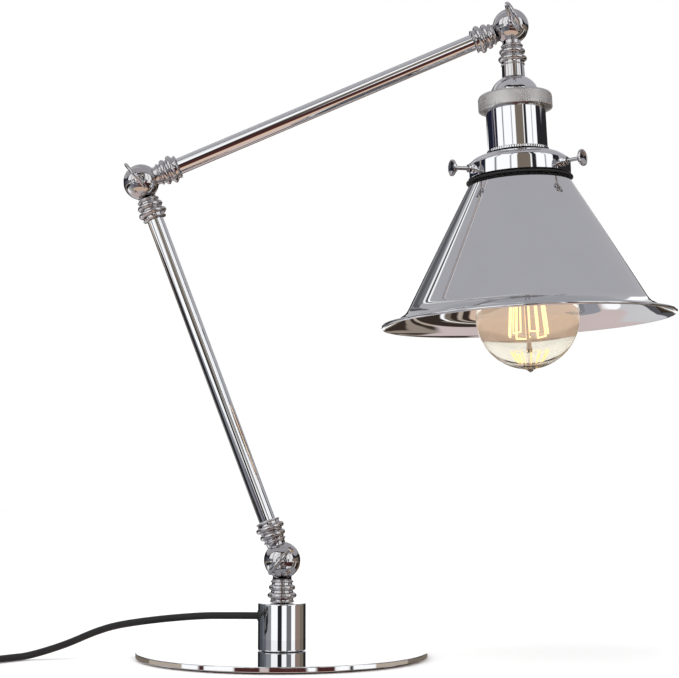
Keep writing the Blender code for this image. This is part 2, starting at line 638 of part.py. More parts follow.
# Gallery with its lock ring, thumbscrews and gasket
gallery_top = HOLDER_BOTTOM + GAP
gallery_inner = GALLERY_RADIUS - GALLERY_WALL
gallery = turned(
    "shade_gallery",
    below(
        [
            (floor_hole, gallery_top),
            (GALLERY_NECK_RADIUS, gallery_top),
            (GALLERY_NECK_RADIUS + 2.5 * MM, gallery_top + 2.2 * MM),
            (GALLERY_RADIUS - 6.0 * MM, GALLERY_SHOULDER - 3.6 * MM),
            (GALLERY_RADIUS - 1.6 * MM, GALLERY_SHOULDER - 1.6 * MM),
            (GALLERY_RADIUS, GALLERY_SHOULDER + 0.6 * MM),
            (GALLERY_RADIUS, GALLERY_BOTTOM),
            (gallery_inner, GALLERY_BOTTOM),
            (gallery_inner, GALLERY_SHOULDER + 1.2 * MM),
            (GALLERY_RADIUS - 6.4 * MM, GALLERY_SHOULDER - 1.6 * MM),
            (GALLERY_NECK_RADIUS + 2.5 * MM, gallery_top + 3.6 * MM),
            (floor_hole, gallery_top + GALLERY_WALL + 0.3 * MM),
        ]
    ),
    CHROME,
    head,
    steps=FINE,
)
boss_radius, boss_height = THUMBSCREW_BOSS
thumbscrew_hole = THUMBSCREW_RADIUS + GAP
thumbscrew_tip = SHADE_COLLAR_RADIUS + GAP
for number, azimuth in enumerate(THUMBSCREW_AZIMUTHS, 1):
    bearing = math.radians(azimuth)
    depth = (0, 0, -THUMBSCREW_DEPTH)
    boss = rod(boss_radius, gallery_inner + 0.5 * MM, GALLERY_RADIUS + boss_height)
    combine(gallery, turned(f"gallery_boss_{number}", boss, CHROME, head, depth, axis="X", steps=COARSE,
                            spin=bearing), "UNION")
    drill = rod(thumbscrew_hole, gallery_inner - EMBED, GALLERY_RADIUS + boss_height + EMBED)
    combine(gallery, turned(f"gallery_drill_{number}", drill, CHROME, head, depth, axis="X", steps=COARSE,
                            spin=bearing), "DIFFERENCE")
    head_in = THUMBSCREW_REACH - THUMBSCREW_HEAD_THICKNESS / 2
    head_out = THUMBSCREW_REACH + THUMBSCREW_HEAD_THICKNESS / 2
    screw_outline = [
        (0, thumbscrew_tip),
        (THUMBSCREW_RADIUS, thumbscrew_tip),
        (THUMBSCREW_RADIUS, head_in),
        (THUMBSCREW_HEAD_RADIUS, head_in),
        (THUMBSCREW_HEAD_RADIUS, head_out),
        (THUMBSCREW_HEAD_RADIUS - 1.4 * MM, head_out),
        (0, head_out - 0.6 * MM),
    ]
    turned(f"gallery_thumbscrew_{number}", screw_outline, CHROME, head, depth, axis="X", steps=COARSE,
           spin=bearing)
lock_ring_top = gallery_top + GALLERY_WALL + 0.6 * MM + 2.5 * MM
turned("gallery_lock_ring", below(ring(floor_hole, LOCK_RING_RADIUS, lock_ring_top,
                                       lock_ring_top + LOCK_RING_THICKNESS)), BLACK_PLASTIC, head)
gasket_top = GALLERY_BOTTOM + GAP
turned(
    "shade_gasket",
    below(
        [
            (SHADE_COLLAR_RADIUS + GAP, gasket_top),
            (GASKET_RADIUS - 0.8 * MM, gasket_top),
            (GASKET_RADIUS, gasket_top + GASKET_THICKNESS),
            (SHADE_COLLAR_RADIUS + GAP, gasket_top + GASKET_THICKNESS),
        ]
    ),
    RUBBER,
    head,
    steps=FINE,
)

# Shade: a collar inside the gallery, a cone and a flared rim
flare = [
    (SHADE_FLARE_RADIUS, SHADE_FLARE),
    (SHADE_FLARE_RADIUS + 4.6 * MM, SHADE_FLARE + 4.6 * MM),
    (SHADE_RIM_RADIUS - 8.0 * MM, SHADE_BOTTOM - 3.6 * MM),
    (SHADE_RIM_RADIUS, SHADE_BOTTOM),
]
shade_top = gasket_top + GASKET_THICKNESS + GAP
outside = [
    (SHADE_COLLAR_RADIUS, SHADE_COLLAR_TOP),
    (SHADE_COLLAR_RADIUS, shade_top),
    (SHADE_TOP_RADIUS, shade_top + 0.6 * MM),
    *flare,
]
inside = inset(outside, SHADE_WALL)
inside[-1] = (SHADE_RIM_RADIUS - SHADE_WALL / 2, SHADE_BOTTOM)
turned("shade", below(outside + inside[::-1]), CHROME, head, steps=FINE)

# Bulb: cap, glass, the glass mount inside it and the filament
cap_end = BULB_CAP_TOP + BULB_CAP_LENGTH
cap_inner = BULB_CAP_RADIUS - BULB_CAP_WALL
turned(
    "bulb_cap",
    below(
        [
            (0, BULB_CAP_TOP),
            (4.8 * MM, BULB_CAP_TOP),
            (8.5 * MM, BULB_CAP_TOP + 3 * MM),
            (BULB_CAP_RADIUS, BULB_CAP_TOP + 5 * MM),
            (BULB_CAP_RADIUS, cap_end),
            (cap_inner, cap_end),
            (cap_inner, BULB_CAP_TOP + 6 * MM),
            (0, BULB_CAP_TOP + 6 * MM),
        ]
    ),
    BRASS,
    head,
)
globe = arc((0, BULB_CENTRE), BULB_RADIUS, -58, 86, 8)
glass_top = cap_end - 5 * MM
glass_outside = [
    (BULB_NECK_RADIUS, glass_top),
    (BULB_NECK_RADIUS, cap_end + 4 * MM),
    (BULB_NECK_RADIUS + 1.6 * MM, cap_end + 14 * MM),
    *globe,
    (0, BULB_CENTRE + BULB_RADIUS + BULB_TIP),
]
glass_inside = inset(glass_outside[:-1], BULB_WALL)
glass_outline = [*glass_outside[::-1], *glass_inside, (0, BULB_CENTRE + BULB_RADIUS - BULB_WALL)]
turned("bulb_glass", below(glass_outline), GLASS, head, steps=COARSE * 2)
filament_top, filament_top_radius = FILAMENT_TOP
filament_bottom, filament_bottom_radius = FILAMENT_BOTTOM
rod_radius = 1.3 * MM
turned(
    "bulb_mount",
    below(
        [
            (0, MOUNT_TOP),
            (BULB_NECK_RADIUS - BULB_WALL - GAP, MOUNT_TOP),
            (4.5 * MM, MOUNT_TOP + 7 * MM),
            (3.6 * MM, filament_top - 12 * MM),
            (rod_radius, filament_top - 9 * MM),
            (rod_radius, MOUNT_TIP),
            (0, MOUNT_TIP),
        ]
    ),
    GLASS,
    head,
    steps=COARSE,
)
legs = []
for leg in range(FILAMENT_LEGS):
    bearing = 2 * math.pi * leg / FILAMENT_LEGS
    low = (filament_bottom_radius * math.cos(bearing), filament_bottom_radius * math.sin(bearing), -filament_bottom)
    high = (filament_top_radius * math.cos(bearing), filament_top_radius * math.sin(bearing), -filament_top)
    legs += [high, low] if leg % 2 else [low, high]
tube_along("bulb_filament", legs, FILAMENT_RADIUS, FILAMENT, head, resolution=1)

# Mains cord, lying on the surface that the lamp stands on, with its switch, coil and plug
cord_step = 5 * CORD_RADIUS
tube_along("cord_lead", smooth_route(CORD_LEAD, cord_step), CORD_RADIUS, CABLE)
switch_along = Vector(SWITCH_TO) - Vector(SWITCH_FROM)
switch_bearing = math.atan2(switch_along.y, switch_along.x)
switch_centre = (Vector(SWITCH_FROM) + Vector(SWITCH_TO)) / 2 * MM
switch_at = (*switch_centre, 0)
half_long = switch_along.length / 2 * MM - GAP
half_wide = SWITCH_WIDTH / 2
switch_plan = [
    (half_long, half_wide - SWITCH_CHAMFER),
    (half_long - 2 * SWITCH_CHAMFER, half_wide),
    (2 * SWITCH_CHAMFER - half_long, half_wide),
    (-half_long, half_wide - SWITCH_CHAMFER),
]
switch_plan += [(x, -y) for x, y in switch_plan[::-1]]
prism("switch_base", switch_plan, 0, SWITCH_BASE_HEIGHT, BLACK_PLASTIC, at=switch_at, across=switch_bearing)
cover = prism("switch_cover", switch_plan, SWITCH_BASE_HEIGHT + GAP, SWITCH_HEIGHT, BLACK_PLASTIC, at=switch_at,
              across=switch_bearing)
half_slot = ROCKER_LENGTH / 2 + 2 * GAP
side_slot = ROCKER_WIDTH / 2 + GAP
slot = [(-half_slot, -side_slot), (half_slot, -side_slot), (half_slot, side_slot), (-half_slot, side_slot)]
slot_floor = SWITCH_HEIGHT - ROCKER_DEPTH - 2 * GAP
combine(cover, prism("rocker_slot", slot, slot_floor, SWITCH_HEIGHT + EMBED, BLACK_PLASTIC, at=switch_at,
                     across=switch_bearing), "DIFFERENCE")
rocker_pivot = SWITCH_HEIGHT - ROCKER_DEPTH / 2
rocker_joint = joint_empty("rocker_joint", None, (*switch_centre, rocker_pivot), 0)
rocker_joint.rotation_euler = (0, 0, switch_bearing)
rocker_side = [
    (-ROCKER_LENGTH / 2, ROCKER_RISE + ROCKER_DEPTH / 2),
    (-ROCKER_LENGTH / 2 + 1.0 * MM, 0),
    (-ROCKER_LENGTH / 4, 0.6 * MM - ROCKER_DEPTH / 2),
    (ROCKER_LENGTH / 4, 0.6 * MM - ROCKER_DEPTH / 2),
    (ROCKER_LENGTH / 2 - 1.0 * MM, 0),
    (ROCKER_LENGTH / 2, ROCKER_RISE + ROCKER_DEPTH / 2),
    (0, ROCKER_DEPTH / 2),
]
rocker = prism("switch_rocker", [(x, z) for x, z in rocker_side], -ROCKER_WIDTH / 2, ROCKER_WIDTH / 2,
               BLACK_PLASTIC, rocker_joint)
rocker.rotation_euler = (math.pi / 2, 0, 0)
tube_along("cord_tail", smooth_route(CORD_TAIL, cord_step), CORD_RADIUS, CABLE)
coil_at = (COIL_CENTRE[0] * MM, COIL_CENTRE[1] * MM, 0)
coil_inner = COIL_MIDDLE_RADIUS - COIL_HALF_WIDTH
coil_outer = COIL_MIDDLE_RADIUS + COIL_HALF_WIDTH
coil_top = COIL_LIFT + COIL_HEIGHT
bevel = CORD_RADIUS
coil_outline = [
    (coil_inner + bevel, COIL_LIFT),
    (coil_outer - bevel, COIL_LIFT),
    (coil_outer, COIL_LIFT + bevel),
    (coil_outer, coil_top - bevel),
    (coil_outer - bevel, coil_top),
    (coil_inner + bevel, coil_top),
    (coil_inner, coil_top - bevel),
    (coil_inner, COIL_LIFT + bevel),
]
turned("cord_coil", coil_outline, CABLE, at=coil_at, steps=MEDIUM)
tie_in = math.sqrt(coil_inner**2 - (TIE_WIDTH / 2) ** 2) * math.cos(math.pi / MEDIUM) - GAP
tie_out = coil_outer + GAP
tie_low = COIL_LIFT - GAP
tie_high = coil_top + GAP


def tie_plan(half_width, grow):
    """The tie's plan, or its room's, in the coil's own radial direction."""
    return [(tie_in - grow, -half_width), (tie_out + grow, -half_width), (tie_out + grow, half_width),
            (tie_in - grow, half_width)]


tie = prism("coil_tie", tie_plan(TIE_WIDTH / 2, TIE_THICKNESS), tie_low - TIE_THICKNESS,
            tie_high + TIE_THICKNESS, CABLE, at=coil_at, across=TIE_AZIMUTH)
combine(tie, prism("tie_room", tie_plan(TIE_WIDTH, 0), tie_low, tie_high, CABLE, at=coil_at,
                   across=TIE_AZIMUTH), "DIFFERENCE")
tube_along("cord_end", smooth_route(CORD_END, cord_step), CORD_RADIUS, CABLE)
plug_at = (PLUG_PLACE[0] * MM, PLUG_PLACE[1] * MM, PLUG_THICKNESS / 2 + GAP / 2)
boot_end = PLUG_BOOT_LENGTH
body_end = boot_end + PLUG_LENGTH
plug = turned("plug_body", [
    (0, 0),
    (CORD_RADIUS + 0.9 * MM, 0),
    (PLUG_BOOT_RADIUS, boot_end + EMBED),
    (0, boot_end + EMBED),
], BLACK_PLASTIC, at=plug_at, axis="Y", steps=COARSE)
half_plug = PLUG_WIDTH / 2
block = prism("plug_block", [
    (-half_plug * 0.62, boot_end),
    (half_plug * 0.62, boot_end),
    (half_plug, boot_end + PLUG_LENGTH * 0.45),
    (half_plug, body_end),
    (-half_plug, body_end),
    (-half_plug, boot_end + PLUG_LENGTH * 0.45),
], -PLUG_THICKNESS / 2, PLUG_THICKNESS / 2, BLACK_PLASTIC, at=plug_at)
combine(plug, block, "UNION")
for number, side in enumerate((-1, 1), 1):
    place = (plug_at[0] + side * PIN_SPACING / 2, plug_at[1], plug_at[2])
    socket_hole = rod(PIN_RADIUS + GAP, body_end - PIN_ROOT - GAP, body_end + EMBED)
    combine(plug, turned(f"pin_hole_{number}", socket_hole, BRASS, at=place, axis="Y", steps=COARSE), "DIFFERENCE")
    pin = rod(PIN_RADIUS, body_end - PIN_ROOT, body_end + PIN_LENGTH)
    turned(f"plug_pin_{number}", pin, BRASS, at=place, axis="Y", steps=COARSE)
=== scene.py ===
"""Swing arm desk lamp in polished chrome: two arms on ball knuckles, and a cone shade round a globe bulb.

Metres, +Z up. Each section makes one piece, or a group of like pieces.
"""

import json
import math

import bmesh
import bpy
from mathutils import Matrix, Vector


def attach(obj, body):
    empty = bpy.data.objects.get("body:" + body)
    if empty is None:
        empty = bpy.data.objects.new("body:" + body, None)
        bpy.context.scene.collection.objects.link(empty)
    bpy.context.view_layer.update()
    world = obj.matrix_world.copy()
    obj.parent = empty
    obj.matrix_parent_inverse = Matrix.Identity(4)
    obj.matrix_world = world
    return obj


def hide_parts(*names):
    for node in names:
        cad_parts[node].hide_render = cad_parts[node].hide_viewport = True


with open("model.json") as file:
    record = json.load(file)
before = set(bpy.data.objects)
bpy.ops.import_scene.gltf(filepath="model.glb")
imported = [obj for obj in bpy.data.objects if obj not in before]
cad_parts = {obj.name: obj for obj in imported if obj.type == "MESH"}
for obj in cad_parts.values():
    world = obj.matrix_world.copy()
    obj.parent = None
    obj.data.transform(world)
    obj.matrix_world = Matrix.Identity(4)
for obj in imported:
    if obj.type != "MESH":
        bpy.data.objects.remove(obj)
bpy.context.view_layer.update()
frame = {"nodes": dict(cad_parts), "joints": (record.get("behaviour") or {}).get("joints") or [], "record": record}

# ----------------------------------------
# Camera
# It stands a little over a metre in front of the lamp, at the height of the lower arm's foot, and looks
# slightly up and to the left through a long lens.

MM = 0.001
camera = bpy.data.cameras.new("camera")
camera.sensor_width = 36
camera.lens = 82.18
viewpoint = bpy.data.objects.new("camera", camera)
viewpoint.location = (99.6 * MM, -1186.5 * MM, 129.3 * MM)
viewpoint.rotation_euler = (math.radians(95.40), 0, math.radians(2.70))
bpy.context.scene.collection.objects.link(viewpoint)
bpy.context.scene.camera = viewpoint

# ----------------------------------------
# Mains cord
# A round two-core cord in a smooth black jacket. It leaves the pillar level, sinks to the table, runs
# through the switch and is wound into a flat coil two layers high and four turns wide, up to the plug.

CORD_RADIUS = 2.7 * MM
CORD_EXIT = (-18.3 * MM, 0, 31.0 * MM)
CORD_LEAD = [
    (-12, 0, 31.0), (-18.7, 0, 31.0), (-40, 0, 31.0), (-62, -0.8, 30.7), (-92, -3.2, 28.4),
    (-121, -7.5, 24.6), (-139, -11, 19.8), (-163, -18, 10.2), (-187, -26.5, 3.3), (-203, -46, 2.7),
    (-212.2, -57.4, 2.7),
]
CORD_THROUGH_SWITCH = [(-225.1, -73.9, 2.7), (-237.9, -90.3, 2.7)]
CORD_TAIL = [(-250.7, -106.6, 2.7), (-256, -113.4, 2.7), (-262.6, -121.8, 2.9)]
CORD_END = [
    (-345.0, -92.3, 9.4), (-343.2, -82, 8.9), (-338.8, -72, 8.0), (-334.4, -64, 7.3), (-333, -57, 7.1),
    (-333, -54, 7.05),
]
COIL_CENTRE = (-306.1, -114.4)
COIL_RADIUS = 31.05
COIL_PITCH = 5.5
COIL_BED = 4.1  # height of the bottom layer's centre line
COIL_SLOTS = [(1.5, 0), (0.5, 0), (-0.5, 0), (-1.5, 0), (-1.5, 1), (-0.5, 1), (0.5, 1), (1.5, 1)]
COIL_START = -38
COIL_SWEEP = 2662  # clockwise from above, in degrees
COIL_SHIFT = 100  # how far round the cord takes to move over to its next place


class Wire:
    """One value in a shader. Arithmetic on it adds Math nodes, and make adds any other node."""

    def __init__(self, tree, socket=None):
        self.tree = tree
        self.socket = socket

    def make(self, kind, settings, sockets, out=0):
        """Adds a node, gives it its settings, and then a value or another wire for each of its sockets."""
        node = self.tree.nodes.new(kind)
        for name, value in settings.items():
            if name != "stops":
                setattr(node, name, value)
                continue
            elements = node.color_ramp.elements
            elements.remove(elements[1])
            for position, colour in value:
                stop = elements.new(position)
                stop.color = (*colour, 1)
            elements.remove(elements[0])
        for name, value in sockets.items():
            if isinstance(value, Wire):
                self.tree.links.new(value.socket, node.inputs[name])
            else:
                node.inputs[name].default_value = value
        return Wire(self.tree, node.outputs[out])

    def math(self, operation, *values):
        return self.make("ShaderNodeMath", {"operation": operation}, dict(enumerate(values)))

    def to(self, shader, name):
        self.tree.links.new(self.socket, shader.inputs[name])

    def __add__(self, other):
        return self.math("ADD", self, other)

    def __radd__(self, other):
        return self.math("ADD", other, self)

    def __sub__(self, other):
        return self.math("SUBTRACT", self, other)

    def __rsub__(self, other):
        return self.math("SUBTRACT", other, self)

    def __mul__(self, other):
        return self.math("MULTIPLY", self, other)

    def __rmul__(self, other):
        return self.math("MULTIPLY", other, self)


def new_finish(name, **sockets):
    """A new material, its shader with these sockets set, and a wire to start its pattern from."""
    material = bpy.data.materials.new(name)
    material.use_nodes = True
    shader = material.node_tree.nodes["Principled BSDF"]
    for socket, value in sockets.items():
        shader.inputs[socket.replace("_", " ")].default_value = value
    start = Wire(material.node_tree)
    start.spot = start.make("ShaderNodeTexCoord", {}, {}, "Object")
    return material, shader, start


def grain(start, scale, detail=3.0, out="Fac", spot=None):
    """Soft noise, with this many cells in a metre."""
    sockets = {"Vector": spot or start.spot, "Scale": scale, "Detail": detail}
    return start.make("ShaderNodeTexNoise", {}, sockets, out)


def blend(start, amount, low, high):
    """One colour or the other, by an amount. Sockets 6 and 7 of a Mix node are its colours."""
    sockets = {"Factor": amount, 6: low, 7: high}
    return start.make("ShaderNodeMix", {"data_type": "RGBA"}, sockets, 2)


def tint(start, amount, low, high):
    """A colour between two, by a wire."""
    return blend(start, amount, (*low, 1), (*high, 1))


def relief(start, shader, height, depth, strength=1.0):
    """Bump of this depth in metres, which a height from 0 to 1 drives."""
    sockets = {"Strength": strength, "Distance": depth, "Height": height}
    start.make("ShaderNodeBump", {}, sockets).to(shader, "Normal")


def cable_jacket():
    """Soft black PVC, a little dusty, with the fine skin that it leaves the extruder with."""
    material, shader, start = new_finish("cable jacket", IOR=1.5)
    dust = grain(start, 90, 5.0)
    skin = grain(start, 1400, 2.0)
    tint(start, dust, (0.006, 0.006, 0.007), (0.017, 0.017, 0.018)).to(shader, "Base Color")
    (0.34 + dust * 0.16 + skin * 0.1).to(shader, "Roughness")
    relief(start, shader, skin, 0.04 * MM, 0.5)
    return material


def curve_through(points, spacing):
    """Points along a smooth curve through the given ones, each a spacing or more from the last."""
    ends = [points[0] * 2 - points[1], *points, points[-1] * 2 - points[-2]]
    fine = []
    for a, b, c, d in zip(ends, ends[1:], ends[2:], ends[3:]):
        for step in range(12):
            t = step / 12
            fine.append(0.5 * (2 * b + (c - a) * t + (2 * a - 5 * b + 4 * c - d) * t**2
                               + (3 * b - a - 3 * c + d) * t**3))
    kept = [fine[0]]
    for point in fine[1:]:
        if (point - kept[-1]).length >= spacing and (point - points[-1]).length > spacing / 2:
            kept.append(point)
    kept.append(points[-1])
    for point in kept:
        point.z = max(point.z, CORD_RADIUS)
    return kept


def coil_points(step):
    """The coil's own route, every step degrees, in millimetres."""
    turns = []
    slot_sweep = COIL_SWEEP / len(COIL_SLOTS)
    for index in range(int(COIL_SWEEP / step) + 1):
        swept = index * COIL_SWEEP / int(COIL_SWEEP / step)
        slot = min(int(swept / slot_sweep), len(COIL_SLOTS) - 1)
        along = (swept - slot * slot_sweep - slot_sweep + COIL_SHIFT) / COIL_SHIFT
        along = max(along, 0.0) if slot + 1 < len(COIL_SLOTS) else 0.0
        share = along * along * (3 - 2 * along)
        here, following = COIL_SLOTS[slot], COIL_SLOTS[min(slot + 1, len(COIL_SLOTS) - 1)]
        place, layer = (a + (b - a) * share for a, b in zip(here, following))
        bearing = math.radians(COIL_START - swept)
        radius = COIL_RADIUS + place * COIL_PITCH
        x = COIL_CENTRE[0] + radius * math.cos(bearing)
        y = COIL_CENTRE[1] + radius * math.sin(bearing)
        turns.append((x, y, COIL_BED + layer * COIL_PITCH))
    return turns


cable = cable_jacket()
route = [*CORD_LEAD, *CORD_THROUGH_SWITCH, *CORD_TAIL, *coil_points(15), *CORD_END]
route = curve_through([Vector(point) * MM for point in route], 1.3 * CORD_RADIUS)
cord_line = bpy.data.curves.new("mains_cord", "CURVE")
cord_line.dimensions = "3D"
cord_line.bevel_depth = CORD_RADIUS
cord_line.bevel_resolution = 5
cord_line.use_fill_caps = True
strand = cord_line.splines.new("POLY")
strand.points.add(len(route) - 1)
for knot, point in zip(strand.points, route):
    knot.co = (*point, 1)
strand.use_smooth = True
cord_line.materials.append(cable)
mains_cord = bpy.data.objects.new("mains_cord", cord_line)
bpy.context.scene.collection.objects.link(mains_cord)
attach(mains_cord, "base")
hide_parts("cord_lead", "cord_tail", "cord_coil", "cord_end")

# ----------------------------------------
# Base: pad, plate and pillar
# A heavy steel disc, polished and chromed, on a rubber pad, and a turned pillar that a screw from below
# holds. The grommet is a thin rubber ring, flush in the pillar's side.

PAD_RADIUS = 105 * MM
PAD_THICKNESS = 1.0 * MM
PLATE_RADIUS = 110 * MM
PLATE_BOTTOM = 1.3 * MM
PLATE_TOP = 5.2 * MM
PLATE_HOLE = 6.3 * MM
PILLAR_RADIUS = 18.3 * MM
PILLAR_BOTTOM = 5.5 * MM
PILLAR_TOP = 40.8 * MM
GROMMET_RADIUS = 4.2 * MM
GROMMET_BORE = CORD_RADIUS + 0.05 * MM

body_of = {node: body for body, nodes in frame["record"]["behaviour"]["bodies"].items() for node in nodes}
UPRIGHT = Matrix.Identity(4)


def mm(points):
    """Points given in millimetres, in metres."""
    return [(a * MM, b * MM) for a, b in points]


def rounded(outline, radius, closed=False, steps=4):
    """The outline with its corners turned into arcs, and points beside each that keep the flats flat."""
    made = []
    for index, corner in enumerate(outline):
        here = Vector(corner)
        if not closed and index in (0, len(outline) - 1):
            made.append(here)
            continue
        before = Vector(outline[index - 1]) - here
        after = Vector(outline[(index + 1) % len(outline)]) - here
        opening = before.angle(after)
        if opening > math.radians(155):
            made.append(here)
            continue
        reach = min(radius / math.tan(opening / 2), 0.4 * before.length, 0.4 * after.length)
        start = here + before.normalized() * reach
        end = here + after.normalized() * reach
        made.append(here + before.normalized() * reach * 1.15)
        for step in range(steps + 1):
            t = step / steps
            made.append((1 - t) ** 2 * start + 2 * t * (1 - t) * here + t**2 * end)
        made.append(here + after.normalized() * reach * 1.15)
    return made


def lathe(outline, closed=False, steps=96):
    """A turned shape about Z, from (radius, height) points that are closed or end on the axis."""
    mesh = bmesh.new()
    corners = [mesh.verts.new((max(r, 0), 0, h)) for r, h in outline]
    edges = [mesh.edges.new(pair) for pair in zip(corners, corners[1:])]
    if closed:
        edges.append(mesh.edges.new((corners[-1], corners[0])))
    bmesh.ops.spin(mesh, geom=corners + edges, axis=(0, 0, 1), cent=(0, 0, 0), steps=steps,
                   angle=2 * math.pi, use_merge=True)
    bmesh.ops.remove_doubles(mesh, verts=mesh.verts, dist=1e-7)
    bmesh.ops.recalc_face_normals(mesh, faces=mesh.faces)
    return mesh


def merge(mesh, other):
    """Adds the other bmesh's shape to this one."""
    copy = bpy.data.meshes.new("spare")
    other.to_mesh(copy)
    other.free()
    mesh.from_mesh(copy)
    bpy.data.meshes.remove(copy)
    return mesh


def fit(node, mesh, place, material, sharp=35):
    """Puts a finished shape in a node's place, on the node's body and with its finish."""
    bmesh.ops.transform(mesh, matrix=place, verts=mesh.verts)
    data = bpy.data.meshes.new(f"{node}_finished")
    mesh.to_mesh(data)
    mesh.free()
    data.shade_smooth()
    data.set_sharp_from_angle(angle=math.radians(sharp))
    data.materials.append(material)
    piece = bpy.data.objects.new(f"{node}_finished", data)
    bpy.context.scene.collection.objects.link(piece)
    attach(piece, body_of[node])
    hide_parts(node)
    return piece


def chrome_plate(name, waviness=0.25, haze=0.03, colour=(0.80, 0.81, 0.83)):
    """Polished chrome: almost a mirror, with the faint waves and haze that hand polishing leaves."""
    material, shader, start = new_finish(name, Metallic=1.0)
    wiped = grain(start, 35, 6.0)
    waves = grain(start, 22, 1.0)
    darker = tuple(0.93 * c for c in colour)
    tint(start, wiped, darker, colour).to(shader, "Base Color")
    (0.012 + wiped * haze).to(shader, "Roughness")
    relief(start, shader, waves, 0.4 * MM, waviness)
    return material


def black_rubber():
    """Moulded black rubber with a fine matt skin."""
    material, shader, start = new_finish("black rubber", IOR=1.45)
    mottle = grain(start, 160, 4.0)
    skin = grain(start, 2200, 2.0)
    tint(start, mottle, (0.008, 0.008, 0.008), (0.024, 0.024, 0.025)).to(shader, "Base Color")
    (0.55 + mottle * 0.25).to(shader, "Roughness")
    relief(start, shader, skin, 0.01 * MM, 0.5)
    return material


chrome = chrome_plate("polished chrome", waviness=0.1)
rubber = black_rubber()
pad_outline = rounded([(0, 0), (PAD_RADIUS, 0), (PAD_RADIUS, PAD_THICKNESS), (0, PAD_THICKNESS)], 0.3 * MM)
fit("base_pad", lathe(pad_outline, steps=160), UPRIGHT, rubber)
plate_outline = rounded(
    [(PLATE_HOLE, PLATE_BOTTOM), (PLATE_RADIUS, PLATE_BOTTOM), (PLATE_RADIUS, PLATE_TOP),
     (PLATE_HOLE, PLATE_TOP)],
    0.55 * MM, closed=True,
)
fit("base_plate", lathe(plate_outline, closed=True, steps=240), UPRIGHT, chrome)
pillar_outline = rounded(
    [(3.3 * MM, PILLAR_BOTTOM), (PILLAR_RADIUS, PILLAR_BOTTOM), (PILLAR_RADIUS, PILLAR_TOP),
     (5.4 * MM, PILLAR_TOP), (5.4 * MM, PILLAR_TOP - 5 * MM), (3.3 * MM, PILLAR_TOP - 6 * MM)],
    0.9 * MM, closed=True,
)
fit("pillar", lathe(pillar_outline, closed=True), UPRIGHT, chrome)
grommet_outline = rounded(
    [(GROMMET_BORE, 0), (GROMMET_RADIUS, 0), (GROMMET_RADIUS, -3 * MM), (GROMMET_BORE, -3 * MM)],
    0.4 * MM, closed=True,
)
grommet_mouth = Matrix.Translation((-PILLAR_RADIUS - 0.2 * MM, 0, CORD_EXIT[2]))
grommet_place = grommet_mouth @ Matrix.Rotation(-math.pi / 2, 4, "Y")
fit("cord_grommet", lathe(grommet_outline, closed=True, steps=40), grommet_place, rubber)

# ----------------------------------------
# Knuckles
# Each is a ball split in two, one half on the end of each turned brass stem, chromed. The stems carry a
# fillet, a bead, a larger bead and a straight collar. The front half is faced flat for its ring screw.

BALL_RADIUS = 14.0 * MM
NECK_RADIUS = 7.2 * MM
STEM_START = 14.4 * MM  # where a neck may start on the side of the other half ball
SPLIT = 0.12 * MM
SCREW_FACE = 13.0 * MM
COLLAR_END = 31.7 * MM
HEAD_COLLAR_END = 41.0 * MM

pivot = {joint["name"]: Vector(joint["pos_m"]) for joint in frame["joints"] if "pos_m" in joint}
lower_pivot = pivot["lower_knuckle"]
middle_pivot = pivot["middle_knuckle"]
head_pivot = pivot["head_knuckle_hinge"]
head_down = Vector(next(joint["axis"] for joint in frame["joints"] if joint["name"] == "bulb_turn"))


def lean_of(way):
    """How far a direction in the XZ plane leans from vertical towards +X, in radians."""
    return math.atan2(way.x, way.z)


def standing(pivot_point, lean):
    """A place at a pivot, with +Z leaning from vertical towards +X."""
    return Matrix.Translation(pivot_point) @ Matrix.Rotation(lean, 4, "Y")


lower_lean = lean_of(middle_pivot - lower_pivot)
upper_lean = lean_of(head_pivot - middle_pivot)
head_lean = lean_of(-head_down)


def bulge(foot, crest, middle, half, steps=10):
    """A rounded bead on a stem, from its foot radius to its crest and back, from sizes in millimetres."""
    angles = [math.radians(-90 + 180 * step / steps) for step in range(steps + 1)]
    return mm([(foot + (crest - foot) * math.cos(a), middle + half * math.sin(a)) for a in angles])


def edges_in(geometry):
    return [item for item in geometry if isinstance(item, bmesh.types.BMEdge)]


def verts_in(geometry):
    return [item for item in geometry if isinstance(item, bmesh.types.BMVert)]


